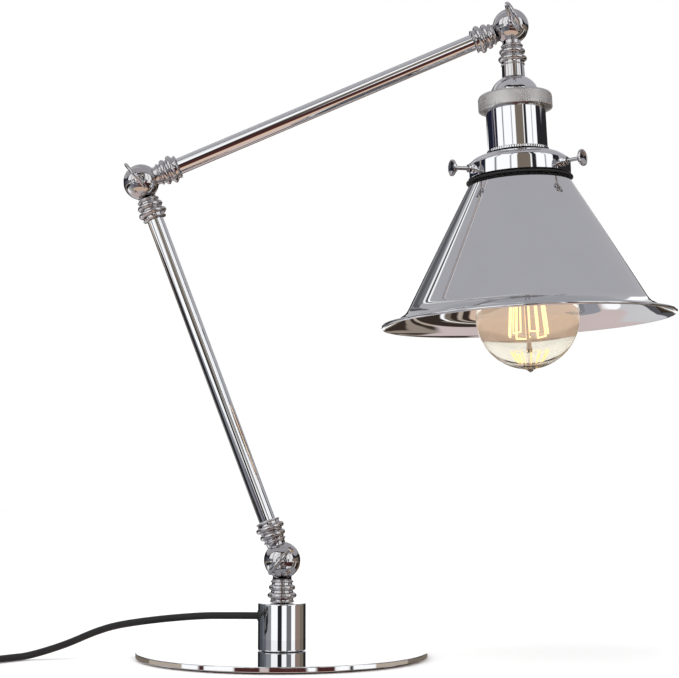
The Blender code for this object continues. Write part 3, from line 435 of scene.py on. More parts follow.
def knuckle_half(side, collar_end):
    """Half a ball on its stem, which rises along +Z. Side is -1 at the front and 1 at the rear."""
    joint_angle = math.acos(NECK_RADIUS / BALL_RADIUS)
    arc = [math.radians(-90) + (joint_angle + math.pi / 2) * step / 40 for step in range(41)]
    ball = [(BALL_RADIUS * math.cos(a), BALL_RADIUS * math.sin(a)) for a in arc]
    ball[0] = (0, -BALL_RADIUS)
    outline = [
        *ball,
        (NECK_RADIUS, 13.6 * MM), (7.5 * MM, 14.6 * MM),
        *bulge(7.7, 8.7, 15.9, 0.9, 6),
        (7.9 * MM, 17.6 * MM),
        *bulge(8.2, 10.1, 20.4, 2.1),
        (8.6 * MM, 23.1 * MM),
        *bulge(8.8, 11.2, 26.2, 2.2),
        (8.7 * MM, 29.2 * MM), (8.7 * MM, 29.9 * MM),
        *bulge(8.7, 9.4, 30.8, 0.6, 6),
        (8.9 * MM, collar_end - 0.2 * MM), (8.5 * MM, collar_end), (0, collar_end),
    ]
    mesh = lathe(outline, steps=80)
    everything = mesh.verts[:] + mesh.edges[:] + mesh.faces[:]
    bmesh.ops.bisect_plane(mesh, geom=everything, dist=1e-7, plane_co=(0, 0, STEM_START),
                           plane_no=(0, 0, 1))
    low = [face for face in mesh.faces if face.calc_center_median().z < STEM_START]
    near = {vert for face in low for vert in face.verts}
    rims = {edge for face in low for edge in face.edges}
    bmesh.ops.bisect_plane(mesh, geom=[*near, *rims, *low], dist=1e-7, plane_co=(0, side * SPLIT, 0),
                           plane_no=(0, 1, 0))
    spare = []
    for face in mesh.faces:
        middle = face.calc_center_median()
        if middle.z < STEM_START and side * middle.y < SPLIT:
            spare.append(face)
    bmesh.ops.delete(mesh, geom=spare, context="FACES")
    rim = [edge for edge in mesh.edges if edge.is_boundary]
    flat = [edge for edge in rim if all(abs(vert.co.y - side * SPLIT) < 1e-6 for vert in edge.verts)]
    seat = [edge for edge in rim if edge not in flat]
    corners = [vert for vert in {v for edge in flat for v in edge.verts} if vert.co.z > STEM_START - 1e-6]
    across = mesh.edges.new(corners)
    bmesh.ops.contextual_create(mesh, geom=flat + [across])
    bmesh.ops.contextual_create(mesh, geom=seat + [across])
    if side < 0:
        everything = mesh.verts[:] + mesh.edges[:] + mesh.faces[:]
        cut = bmesh.ops.bisect_plane(mesh, geom=everything, dist=1e-7, plane_co=(0, -SCREW_FACE, 0),
                                     plane_no=(0, -1, 0), clear_outer=True)["geom_cut"]
        bmesh.ops.contextual_create(mesh, geom=edges_in(cut))
    bmesh.ops.recalc_face_normals(mesh, faces=mesh.faces)
    return mesh


knuckles = (
    ("pillar_knuckle", 1, lower_pivot, math.pi, COLLAR_END),
    ("lower_arm_foot", -1, lower_pivot, lower_lean, COLLAR_END),
    ("lower_arm_end", 1, middle_pivot, lower_lean + math.pi, COLLAR_END),
    ("upper_arm_foot", -1, middle_pivot, upper_lean, COLLAR_END),
    ("upper_arm_end", 1, head_pivot, upper_lean + math.pi, COLLAR_END),
    ("head_knuckle", -1, head_pivot, head_lean + math.pi, HEAD_COLLAR_END),
)
# The knuckles, ring screws and thumbscrews share a chrome whose colour is darkened to about 0.62: painted shade,
# which makes their reflections darker than those of the tubes, plate and holder.
darkened_chrome = chrome_plate("chromed knuckles", waviness=0.35, haze=0.05, colour=(0.62, 0.61, 0.62))
for node, side, at, lean, collar_end in knuckles:
    fit(node, knuckle_half(side, collar_end), standing(at, lean), darkened_chrome)

# ----------------------------------------
# Arm tubes
# Drawn steel tube, polished and chromed, pushed over a spigot at each end and up against the collars.

TUBE_RADIUS = 6.5 * MM
TUBE_BORE = 5.2 * MM
TUBE_START = 32.0 * MM

for node, at, far, lean in (
    ("lower_arm_tube", lower_pivot, middle_pivot, lower_lean),
    ("upper_arm_tube", middle_pivot, head_pivot, upper_lean),
):
    reach = (far - at).length
    tube_outline = rounded(
        [(TUBE_BORE, TUBE_START), (TUBE_RADIUS, TUBE_START), (TUBE_RADIUS, reach - TUBE_START),
         (TUBE_BORE, reach - TUBE_START)],
        0.25 * MM, closed=True,
    )
    fit(node, lathe(tube_outline, closed=True, steps=64), standing(at, lean), chrome)

# ----------------------------------------
# Ring screws
# Each is a chromed steel screw with a small turned head, and a ring of wire brazed on to turn it by hand.
# It draws the two halves of its knuckle together.

RING_REACH = 26.6 * MM  # pivot to the middle of the ring
RING_RADIUS = 10.8 * MM
RING_WIRE = 1.35 * MM
RING_TURNS = {"lower": 39, "middle": -41, "head": -26}  # of each ring from vertical, in degrees


def ring_screw():
    """A screw along Y with its head towards -Y, and its ring in the YZ plane."""
    shank = rounded(
        mm([(0, 9), (3, 9), (3, -13.2), (5.0, -13.2),
         (5.0, -14.2), (3.4, -14.8), (2.6, -16.4), (0, -16.9)]),
        0.35 * MM,
    )
    mesh = lathe([(r, -h) for r, h in shank], steps=48)
    quarter_x = Matrix.Rotation(math.pi / 2, 3, "X")
    bmesh.ops.rotate(mesh, verts=mesh.verts, cent=(0, 0, 0), matrix=quarter_x)
    loop = bmesh.new()
    wire = bmesh.ops.create_circle(loop, segments=16, radius=RING_WIRE)["verts"]
    bmesh.ops.rotate(loop, verts=wire, cent=(0, 0, 0), matrix=quarter_x)
    bmesh.ops.translate(loop, verts=wire, vec=(RING_RADIUS, 0, 0))
    bmesh.ops.spin(loop, geom=loop.verts[:] + loop.edges[:], axis=(0, 0, 1), cent=(0, 0, 0), steps=72,
                   angle=2 * math.pi, use_merge=True)
    quarter_y = Matrix.Rotation(math.pi / 2, 3, "Y")
    bmesh.ops.rotate(loop, verts=loop.verts, cent=(0, 0, 0), matrix=quarter_y)
    bmesh.ops.translate(loop, verts=loop.verts, vec=(0, -RING_REACH, 0))
    bmesh.ops.recalc_face_normals(loop, faces=loop.faces)
    return merge(mesh, loop)


for knuckle, at in (("lower", lower_pivot), ("middle", middle_pivot), ("head", head_pivot)):
    ring_place = standing(at, math.radians(RING_TURNS[knuckle]))
    fit(f"{knuckle}_ring_screw", ring_screw(), ring_place, darkened_chrome)

# ----------------------------------------
# Bulb holder: cap, knurled ring and body
# A domed cap under the stem, a wide ring knurled all over its rim that clamps the cap to the body, and a
# plain cylinder that ends in a fine beaded edge. All are brass, plated with satin nickel on the ring and
# chrome on the rest.
# Heights here are depths below the head's pivot.

CAP_TOP = 41.2 * MM
CAP_FOOT = 53.8 * MM
CAP_RADIUS = 19.0 * MM
KNURL_RADIUS = 28.7 * MM
KNURL_SHOULDER = 57.6 * MM
KNURL_BOTTOM = 66.6 * MM
KNURL_DEPTH = 0.5 * MM
KNURLS = 92
HOLDER_RADIUS = 23.1 * MM
HOLDER_BOTTOM = 100.2 * MM
BEADS = 80  # round the holder's lower edge
BEAD_DEPTH = 0.006  # as a share of the radius

HEAD = standing(head_pivot, head_lean)


def below(points):
    """Depths below the head's pivot as heights."""
    return [(point[0], -point[1]) for point in points]


def satin_nickel():
    """Satin nickel plate: a soft, slightly cloudy sheen with fine pits."""
    material, shader, start = new_finish("satin nickel", Metallic=1.0)
    cloud = grain(start, 120, 5.0)
    pits = grain(start, 2600, 2.0)
    tint(start, cloud, (0.62, 0.62, 0.62), (0.80, 0.80, 0.79)).to(shader, "Base Color")
    (0.22 + cloud * 0.12).to(shader, "Roughness")
    relief(start, shader, pits, 0.02 * MM, 0.6)
    return material


nickel = satin_nickel()
dome = []
for step in range(17):
    share = step / 16
    sag = 1.9 * MM * math.sin(math.pi * share)
    dome.append((9.3 * MM + 9.7 * MM * share + sag * 0.75, CAP_TOP + 12.2 * MM * share - sag * 0.6))
cap_outline = [(5.4 * MM, CAP_TOP), *dome, (CAP_RADIUS, CAP_FOOT + 2 * MM), (5.4 * MM, CAP_FOOT + 2 * MM)]
fit("holder_cap", lathe(below(cap_outline), closed=True), HEAD, chrome)


def knurled_ring():
    """The ring, with two sets of crossing grooves pressed into its rim and shoulder."""
    rows = 30
    rim_height = KNURL_BOTTOM - 0.7 * MM - KNURL_SHOULDER
    rim = [(KNURL_RADIUS, KNURL_SHOULDER + rim_height * row / rows) for row in range(rows + 1)]
    shoulder = [(26.2 * MM + 2.5 * MM * math.sin(math.radians(90 * step / 10)),
                 KNURL_SHOULDER - 2.1 * MM * math.cos(math.radians(90 * step / 10))) for step in range(10)]
    outline = [
        (19.2 * MM, KNURL_SHOULDER - 2.2 * MM), (25.6 * MM, KNURL_SHOULDER - 2.2 * MM), *shoulder, *rim,
        (KNURL_RADIUS - 0.3 * MM, KNURL_BOTTOM - 0.2 * MM), (KNURL_RADIUS - 0.9 * MM, KNURL_BOTTOM),
        (23.4 * MM, KNURL_BOTTOM), (23.4 * MM, KNURL_SHOULDER), (19.2 * MM, KNURL_SHOULDER),
    ]
    mesh = lathe(below(outline), closed=True, steps=KNURLS * 6)
    for vert in mesh.verts:
        radius = math.hypot(vert.co.x, vert.co.y)
        if radius < 25.7 * MM or vert.co.z < 0.4 * MM - KNURL_BOTTOM:
            continue
        turn = math.atan2(vert.co.y, vert.co.x) * KNURLS
        climb = vert.co.z * KNURLS / KNURL_RADIUS
        groove = max(abs(math.cos((turn + climb) / 2)), abs(math.cos((turn - climb) / 2)))
        fade = min((radius - 25.7 * MM) / (1.5 * MM), 1)
        vert.co *= 1 - KNURL_DEPTH / KNURL_RADIUS * fade * groove**3
    return mesh


fit("knurled_ring", knurled_ring(), HEAD, nickel, sharp=60)
holder_outline = rounded(
    [(21.6 * MM, KNURL_BOTTOM - 7 * MM), (HOLDER_RADIUS, KNURL_BOTTOM - 7 * MM),
     (HOLDER_RADIUS, HOLDER_BOTTOM - 2 * MM), (24.0 * MM, HOLDER_BOTTOM - 1.7 * MM),
     (24.0 * MM, HOLDER_BOTTOM), (19.1 * MM, HOLDER_BOTTOM), (19.1 * MM, HOLDER_BOTTOM - 1.6 * MM),
     (21.6 * MM, HOLDER_BOTTOM - 1.6 * MM)],
    0.3 * MM, closed=True,
)
holder = lathe(below(holder_outline), closed=True, steps=320)
for vert in holder.verts:
    out = math.hypot(vert.co.x, vert.co.y)
    if out > HOLDER_RADIUS + 0.6 * MM:
        for axis in (0, 1):
            turn = math.atan2(vert.co.y, vert.co.x)
            vert.co[axis] *= 1 - BEAD_DEPTH * (1 + math.cos(turn * BEADS))
fit("holder_body", holder, HEAD, chrome)

# ----------------------------------------
# Socket and its contacts
# A glazed porcelain core hangs in the holder, with the brass screw shell and contact that the bulb meets.
# Little of it shows, past the bulb's neck, from below.

SOCKET_RADIUS = 18.8 * MM
SOCKET_BOTTOM = 165 * MM


def porcelain_glaze():
    """White porcelain under a clear glaze that pools a little unevenly."""
    material, shader, start = new_finish("glazed porcelain", Coat_Weight=0.6, Coat_Roughness=0.05)
    speck = grain(start, 300, 4.0)
    tint(start, speck, (0.78, 0.76, 0.70), (0.88, 0.87, 0.83)).to(shader, "Base Color")
    (0.18 + speck * 0.12).to(shader, "Roughness")
    relief(start, shader, grain(start, 45, 2.0), 0.2 * MM, 0.3)
    return material


def drawn_brass():
    """Thin drawn brass with a fine grain and a little tarnish."""
    material, shader, start = new_finish("drawn brass", Metallic=1.0)
    tarnish = grain(start, 140, 5.0)
    lines = grain(start, 900, 2.0)
    tint(start, tarnish, (0.62, 0.43, 0.18), (0.83, 0.64, 0.33)).to(shader, "Base Color")
    (0.22 + tarnish * 0.16).to(shader, "Roughness")
    relief(start, shader, lines, 0.04 * MM, 0.5)
    return material


brass = drawn_brass()
porcelain = porcelain_glaze()
socket_outline = rounded(
    [(0, 88.7 * MM), (20.9 * MM, 88.7 * MM), (20.9 * MM, 98.2 * MM), (SOCKET_RADIUS, 98.4 * MM),
     (SOCKET_RADIUS, SOCKET_BOTTOM), (15.4 * MM, SOCKET_BOTTOM), (15.4 * MM, 132 * MM), (0, 132 * MM)],
    0.8 * MM,
)
fit("socket_core", lathe(below(socket_outline), steps=72), HEAD, porcelain)
THREAD_PITCH = 3.6 * MM


def threaded(top, bottom, radius, wall, depth):
    """A thin shell with a rounded rolled thread, as a lamp cap and its holder have."""
    rows = int((bottom - top) / (THREAD_PITCH / 8))
    outer = [(radius, top + (bottom - top) * row / rows) for row in range(rows + 1)]
    inner = [(radius - wall, depth_at) for _, depth_at in reversed(outer)]
    mesh = lathe(below(outer + inner), closed=True, steps=64)
    for vert in mesh.verts:
        turn = math.atan2(vert.co.y, vert.co.x) / (2 * math.pi)
        swell = math.cos(2 * math.pi * (vert.co.z / THREAD_PITCH - turn)) * depth / 2 - depth / 2
        out = math.hypot(vert.co.x, vert.co.y)
        vert.co.x *= 1 + swell / out
        vert.co.y *= 1 + swell / out
    return mesh


fit("screw_shell", threaded(137 * MM, 161 * MM, 15.1 * MM, 0.4 * MM, 0.7 * MM), HEAD, brass)

# ----------------------------------------
# Gallery and its thumbscrews
# A shallow spun cup under the holder, which the shade's collar goes up into. Three thumbscrews, in bosses
# round its rim, hold the shade. A ring of black plastic locks the gallery to the socket from inside.

GALLERY_RADIUS = 39.8 * MM
GALLERY_TOP = 100.5 * MM
GALLERY_SHOULDER = 107.6 * MM
GALLERY_BOTTOM = 120.2 * MM
THUMBSCREW_DEPTH = 113.7 * MM
THUMBSCREW_AZIMUTHS = (-157, -37, 83)

crown = []
for degrees in range(8, 82, 6):
    lean = math.radians(degrees)
    dome_depth = GALLERY_SHOULDER + 1.6 * MM - 7.2 * MM * math.cos(lean) ** 1.25
    crown.append((23.8 * MM + 14.8 * MM * math.sin(lean), dome_depth))
crown_inside = [(r - 0.5 * MM, depth + 1.3 * MM) for r, depth in reversed(crown)]
gallery_outline = [
    (19.1 * MM, GALLERY_TOP), (23.4 * MM, GALLERY_TOP), *crown,
    (39.3 * MM, GALLERY_SHOULDER + 0.7 * MM), (39.7 * MM, GALLERY_SHOULDER + 1.7 * MM),
    (GALLERY_RADIUS, GALLERY_SHOULDER + 2.4 * MM), (GALLERY_RADIUS, GALLERY_BOTTOM - 0.5 * MM),
    (39.5 * MM, GALLERY_BOTTOM - 0.1 * MM), (39.1 * MM, GALLERY_BOTTOM), (38.5 * MM, GALLERY_BOTTOM),
    (38.5 * MM, GALLERY_SHOULDER + 2.6 * MM), *crown_inside, (23.4 * MM, GALLERY_TOP + 1.5 * MM),
    (19.1 * MM, GALLERY_TOP + 1.5 * MM),
]


def facing(azimuth):
    """A place at the thumbscrews' depth, with +Z pointing out from the head's axis at this azimuth."""
    return (Matrix.Translation((0, 0, -THUMBSCREW_DEPTH)) @ Matrix.Rotation(math.radians(azimuth), 4, "Z")
            @ Matrix.Rotation(math.pi / 2, 4, "Y"))


gallery = lathe(below(gallery_outline), closed=True, steps=160)
for azimuth in THUMBSCREW_AZIMUTHS:
    boss_outline = rounded(
        mm([(1.8, 39.0), (4.4, 39.0), (4.0, 40.6), (3.2, 41.2),
         (3.2, 43.6), (1.8, 43.6)]),
        0.35 * MM, closed=True,
    )
    boss = lathe(boss_outline, closed=True, steps=40)
    bmesh.ops.transform(boss, matrix=facing(azimuth), verts=boss.verts)
    merge(gallery, boss)
fit("shade_gallery", gallery, HEAD, chrome)
for number, azimuth in enumerate(THUMBSCREW_AZIMUTHS, 1):
    screw_outline = rounded(
        mm([(0, 37.4), (1.1, 37.4), (1.5, 38.2), (1.5, 52.6),
         (3.3, 53.6), (3.3, 55.2), (5.9, 55.6), (6.4, 56.2),
         (6.4, 57.2), (5.4, 57.7), (4.6, 57.3), (0, 57.0)]),
        0.3 * MM,
    )
    screw = lathe(screw_outline, steps=56)
    fit(f"gallery_thumbscrew_{number}", screw, HEAD @ facing(azimuth), darkened_chrome)


def black_plastic():
    """Moulded black plastic, with the fine texture of its mould and a slight shine."""
    material, shader, start = new_finish("black plastic", IOR=1.5)
    wear = grain(start, 130, 5.0)
    texture = start.make("ShaderNodeTexVoronoi", {}, {"Vector": start.spot, "Scale": 1800.0}, "Distance")
    tint(start, wear, (0.010, 0.010, 0.011), (0.022, 0.022, 0.024)).to(shader, "Base Color")
    (0.28 + wear * 0.16).to(shader, "Roughness")
    relief(start, shader, texture, 0.03 * MM, 0.35)
    return material


plastic = black_plastic()
lock_outline = rounded(
    mm([(19.1, 105), (24.4, 105), (24.4, 110), (19.1, 110)]),
    0.5 * MM, closed=True,
)
lock_ring = lathe(below(lock_outline), closed=True, steps=96)
for vert in lock_ring.verts:
    if math.hypot(vert.co.x, vert.co.y) > 24 * MM:
        grip = 1 - 0.012 * (1 + math.cos(math.atan2(vert.co.y, vert.co.x) * 24))
        vert.co.x *= grip
        vert.co.y *= grip
fit("gallery_lock_ring", lock_ring, HEAD, plastic)
# A thin black rubber ring under the gallery's rim. Its black band is partly the ring's own colour and partly
# painted shade, standing for the dark gap under the gallery.
gasket_outline = rounded(
    mm([(37.3, 120.5), (38.4, 120.5), (39.0, 121.2), (41.2, 121.5),
     (41.2, 122.7), (39.6, 122.9), (37.3, 122.9)]),
    0.5 * MM, closed=True,
)
fit("shade_gasket", lathe(below(gasket_outline), closed=True, steps=128), HEAD, rubber)

# ----------------------------------------
# Shade
# A cone spun from thin steel sheet, with a collar that goes up into the gallery, a rounded break where it
# flares out, and a flat lip with a rolled edge. It is chromed inside and out.

SHADE_WALL = 0.9 * MM
SHADE_OUTSIDE = [
    (37.0, 110.5), (37.0, 111.0), (37.0, 121.9), (37.1, 122.5), (37.5, 123.0), (38.3, 123.3),
    (38.9, 123.9), (39.25, 124.53), (65.0, 170.7), (90.9, 217.13), (91.8, 218.75), (92.7, 220.2),
    (93.9, 221.6), (95.4, 222.9), (97.2, 224.1), (98.6, 224.95), (105.0, 228.1), (110.2, 230.3),
    (110.9, 230.4),
]


def shade_profile():
    """The shade's wall, down its outside, round its rolled edge and back up its inside."""
    outside = [Vector(point) * MM for point in SHADE_OUTSIDE]
    inside = []
    for index, point in enumerate(outside):
        ahead = outside[min(index + 1, len(outside) - 1)]
        along = (ahead - outside[max(index - 1, 0)]).normalized()
        inside.append(Vector((point.x - along.y * SHADE_WALL, point.y + along.x * SHADE_WALL)))
    edge = []
    for step in range(17):
        turn = math.radians(-110 + 250 * step / 16)
        edge.append(Vector((111.7 + 1.25 * math.cos(turn), 231.2 + 1.2 * math.sin(turn))) * MM)
    return outside + edge + inside[-2::-1]


shade_chrome = chrome_plate("chromed shade", waviness=0.12, haze=0.035, colour=(0.79, 0.80, 0.82))
fit("shade", lathe(below(shade_profile()), closed=True, steps=256), HEAD, shade_chrome, sharp=50)

# ----------------------------------------
# Bulb
# A squirrel-cage filament lamp: a thin amber globe drawn to a nub where it was sealed, a glass stem with
# wire supports, and a filament strung up and down between them. Its screw cap is thin brass.

GLOBE_CENTRE = 228.9 * MM
GLOBE_RADIUS = 39.6 * MM
NECK_GLASS_RADIUS = 12.3 * MM
NECK_TOP = 158 * MM
GLASS_WALL = 0.7 * MM
NUB = 2.4 * MM
CAP_START = 136 * MM
CAP_STOP = 163 * MM
CAGE_LEGS = 12
CAGE_TOP = 196 * MM
CAGE_FOOT = 238 * MM
CAGE_TOP_RADIUS = 6.5 * MM
CAGE_FOOT_RADIUS = 10.5 * MM
FILAMENT_RADIUS = 0.55 * MM


def bulb_outline(inset):
    """The globe from its neck to its nub, moved inwards by an inset."""
    throat = [(NECK_GLASS_RADIUS - inset, NECK_TOP), (NECK_GLASS_RADIUS - inset, CAP_STOP + 4 * MM)]
    start = math.radians(-56)
    meet = (GLOBE_RADIUS * math.cos(start), GLOBE_CENTRE + GLOBE_RADIUS * math.sin(start))
    leaving = NECK_GLASS_RADIUS - inset
    flare = meet[1] - CAP_STOP - 4 * MM
    steer = max(meet[0] - flare * 0.62, leaving)
    for step in range(1, 12):
        t = step / 12
        radius = (1 - t) ** 2 * leaving + 2 * t * (1 - t) * steer + t**2 * (meet[0] - inset)
        throat.append((radius, CAP_STOP + 4 * MM + flare * t))
    globe = []
    for step in range(49):
        turn = start + math.radians(56 + 84) * step / 48
        globe.append(((GLOBE_RADIUS - inset) * math.cos(turn),
                      GLOBE_CENTRE + (GLOBE_RADIUS - inset) * math.sin(turn)))
    tip = GLOBE_CENTRE + GLOBE_RADIUS + NUB - inset * 2
    nub = [(2.6 * MM, tip - 1.9 * MM), (1.3 * MM, tip - 0.7 * MM), (0.6 * MM, tip - 0.15 * MM), (0, tip)]
    return throat + globe + nub


def amber_glass():
    """Thin blown glass with a faint amber tint and a slight ripple."""
    material, shader, start = new_finish("amber glass", Transmission_Weight=1.0, IOR=1.2)
    ripple = grain(start, 18, 2.0)
    tint(start, ripple, (1.0, 0.985, 0.93), (1.0, 0.99, 0.96)).to(shader, "Base Color")
    (ripple * 0.01).to(shader, "Roughness")
    relief(start, shader, ripple, 0.3 * MM, 0.2)
    return material


amber = amber_glass()
glass_outline = bulb_outline(0) + bulb_outline(GLASS_WALL)[::-1]
glass = lathe(below(glass_outline), steps=128)
bmesh.ops.bridge_loops(glass, edges=[edge for edge in glass.edges if edge.is_boundary])
bmesh.ops.recalc_face_normals(glass, faces=glass.faces)
fit("bulb_glass", glass, HEAD, amber)
bulb_cap = threaded(CAP_START + 4 * MM, CAP_STOP, 13.9 * MM, 0.3 * MM, 1.0 * MM)
cap_end = rounded(
    [(0, CAP_START), (4.8 * MM, CAP_START), (5.2 * MM, CAP_START + 1 * MM),
     (8.5 * MM, CAP_START + 2.4 * MM), (12.6 * MM, CAP_START + 4 * MM), (12.6 * MM, CAP_START + 4.4 * MM),
     (0, CAP_START + 4.4 * MM)],
    0.3 * MM,
)
fit("bulb_cap", merge(bulb_cap, lathe(below(cap_end), steps=64)), HEAD, brass)
mount_outline = mm([
    (0, 164), (11, 164), (9, 166), (5.4, 169), (4.2, 174),
    (3.9, 182), (3.4, 186), (1.9, 189), (1.3, 193), (1.3, 245),
    (1.7, 246.2), (1.9, 247.2), (1.2, 248.2), (0, 248.5),
])


def wire_through(points, radius, sides=8):
    """A bmesh tube along points, closed at both ends."""
    line = bpy.data.curves.new("wire", "CURVE")
    line.dimensions = "3D"
    line.bevel_depth = radius
    line.bevel_resolution = sides // 4
    line.use_fill_caps = True
    spline = line.splines.new("POLY")
    spline.points.add(len(points) - 1)
    for knot, point in zip(spline.points, points):
        knot.co = (*point, 1)
    spare = bpy.data.objects.new("wire", line)
    bpy.context.scene.collection.objects.link(spare)
    graph = bpy.context.evaluated_depsgraph_get()
    made = bpy.data.meshes.new_from_object(spare.evaluated_get(graph))
    mesh = bmesh.new()
    mesh.from_mesh(made)
    bpy.data.objects.remove(spare)
    bpy.data.curves.remove(line)
    bpy.data.meshes.remove(made)
    return mesh


def spoke(radius, depth, bearing):
    """A point round the bulb's axis."""
    return Vector((radius * math.cos(bearing), radius * math.sin(bearing), -depth))


mount = lathe(below(mount_outline), steps=40)
cage = []
for leg in range(CAGE_LEGS):
    bearing = 2 * math.pi * leg / CAGE_LEGS
    depth, radius = (CAGE_TOP, CAGE_TOP_RADIUS) if leg % 2 else (CAGE_FOOT, CAGE_FOOT_RADIUS)
    arm = [spoke(1.0 * MM, depth, bearing), spoke(radius + 0.4 * MM, depth, bearing)]
    merge(mount, wire_through(arm, 0.16 * MM, 4))
    high = spoke(CAGE_TOP_RADIUS, CAGE_TOP, bearing)
    low = spoke(CAGE_FOOT_RADIUS, CAGE_FOOT, bearing)
    ends = [high, low] if leg % 2 else [low, high]
    cage += [ends[0].lerp(ends[1], step / 6) for step in range(7)]
for side in (-1, 1):
    lead = [Vector((side * 2.6 * MM, 0, -170 * MM)), Vector((side * 2.8 * MM, 0, -188 * MM)),
            Vector((side * 5.8 * MM, 0, -195.6 * MM))]
    merge(mount, wire_through(lead, 0.25 * MM, 4))
clear_glass, clear_shader, clear_start = new_finish("stem glass", Transmission_Weight=1.0, IOR=1.2)
(0.015 + grain(clear_start, 200, 2.0) * 0.01).to(clear_shader, "Roughness")
fit("bulb_mount", mount, HEAD, clear_glass)


def glowing_filament():
    """Carbon filament, yellow-white with heat, a little cooler at some places along it."""
    material, shader, start = new_finish("glowing filament", Emission_Strength=1.5)
    heat = grain(start, 160, 2.0)
    tint(start, heat, (1.0, 0.62, 0.28), (1.0, 0.78, 0.46)).to(shader, "Emission Color")
    tint(start, heat, (0.9, 0.4, 0.1), (1.0, 0.6, 0.2)).to(shader, "Base Color")
    return material


fit("bulb_filament", wire_through(cage, FILAMENT_RADIUS, 8), HEAD, glowing_filament())

# ----------------------------------------
# Switch
# An in-line rocker switch: a base and a cover of black plastic that close round the cord, with the rocker
# in a well in the cover.

SWITCH_CENTRE = Vector((-231.45 * MM, -82.0 * MM, 0))
SWITCH_BEARING = math.atan2(-48.8, -38.1)
SWITCH_HALF_LONG = 30.6 * MM
SWITCH_HALF_WIDE = 10.5 * MM
SWITCH_BASE_TOP = 6.0 * MM
SWITCH_TOP = 15.0 * MM
ROCKER_HALF_LONG = 7.5 * MM
ROCKER_HALF_WIDE = 4.0 * MM
WELL_DEPTH = 5.6 * MM


def slab(plan, bottom, top, bevel):
    """A flat-sided block over a plan, with its edges rounded."""
    mesh = bmesh.new()
    floor = mesh.faces.new([mesh.verts.new((x, y, bottom)) for x, y in plan])
    raised = bmesh.ops.extrude_face_region(mesh, geom=[floor])["geom"]
    bmesh.ops.translate(mesh, verts=verts_in(raised), vec=(0, 0, top - bottom))
    bmesh.ops.recalc_face_normals(mesh, faces=mesh.faces)
    bmesh.ops.bevel(mesh, geom=mesh.edges[:], offset=bevel, offset_type="OFFSET", segments=3, profile=0.5,
                    affect="EDGES", clamp_overlap=True, material=-1)
    return mesh


def rectangle(half_long, half_wide):
    return [(-half_long, -half_wide), (half_long, -half_wide),
            (half_long, half_wide), (-half_long, half_wide)]


switch_plan = []
for x_side, y_side in ((1, 1), (-1, 1), (-1, -1), (1, -1)):
    corner = [(SWITCH_HALF_LONG, 7.5 * MM), (SWITCH_HALF_LONG - 2 * MM, 9.4 * MM),
              (SWITCH_HALF_LONG - 6 * MM, SWITCH_HALF_WIDE)]
    if x_side * y_side < 0:
        corner.reverse()
    switch_plan += [(x * x_side, y * y_side) for x, y in corner]
switch_place = Matrix.Translation(SWITCH_CENTRE) @ Matrix.Rotation(SWITCH_BEARING, 4, "Z")
fit("switch_base", slab(switch_plan, 0, SWITCH_BASE_TOP, 0.7 * MM), switch_place, plastic)
cover = slab(switch_plan, SWITCH_BASE_TOP + 0.25 * MM, SWITCH_TOP, 1.4 * MM)
top_face = max(cover.faces, key=lambda face: (round(face.calc_center_median().z, 5), face.calc_area()))
well_plan = rectangle(ROCKER_HALF_LONG + 0.5 * MM, ROCKER_HALF_WIDE + 0.3 * MM)
well_rim = [cover.verts.new((x, y, SWITCH_TOP)) for x, y in well_plan]
well_edges = [cover.edges.new((a, b)) for a, b in zip(well_rim, well_rim[1:] + well_rim[:1])]
outer_edges = list(top_face.edges)
bmesh.ops.delete(cover, geom=[top_face], context="FACES_ONLY")
bmesh.ops.triangle_fill(cover, use_beauty=True, edges=outer_edges + well_edges)
walls = bmesh.ops.extrude_edge_only(cover, edges=well_edges)["geom"]
lowered = verts_in(walls)
bmesh.ops.translate(cover, verts=lowered, vec=(0, 0, -WELL_DEPTH))
well_floor = [edge for edge in edges_in(walls) if all(vert in lowered for vert in edge.verts)]
bmesh.ops.contextual_create(cover, geom=well_floor)
bmesh.ops.recalc_face_normals(cover, faces=cover.faces)
fit("switch_cover", cover, switch_place, plastic)
rocker_profile = []
for step in range(13):
    share = step / 6 - 1
    rocker_profile.append((share * ROCKER_HALF_LONG, 2.5 * MM + 1.5 * MM * share**2))
rocker_profile += mm([(6.4, 0), (3.6, -1.9), (-3.6, -1.9), (-6.4, 0)])
rocker = slab(rocker_profile, -ROCKER_HALF_WIDE, ROCKER_HALF_WIDE, 0.25 * MM)
rocker_height = Matrix.Translation((0, 0, SWITCH_TOP - 2.5 * MM))
rocker_place = switch_place @ rocker_height @ Matrix.Rotation(math.pi / 2, 4, "X")
fit("switch_rocker", rocker, rocker_place, plastic)

# ----------------------------------------
# Coil tie and plug
# A flat strap round the coil's turns, and a moulded black plastic plug with two brass pins and a ribbed
# boot, where the cord goes in.

TIE_BEARING = math.radians(-100)
TIE_INNER = 19.0 * MM
TIE_OUTER = 42.6 * MM
PLUG_PLACE = Vector((-333 * MM, -56 * MM, 7.05 * MM))
PLUG_BOOT = 22 * MM
PLUG_LENGTH = 30 * MM
PLUG_HALF_WIDE = 13 * MM
PLUG_HALF_THICK = 6.9 * MM
PIN_OFFSET = 9.3 * MM
PIN_END = 71 * MM

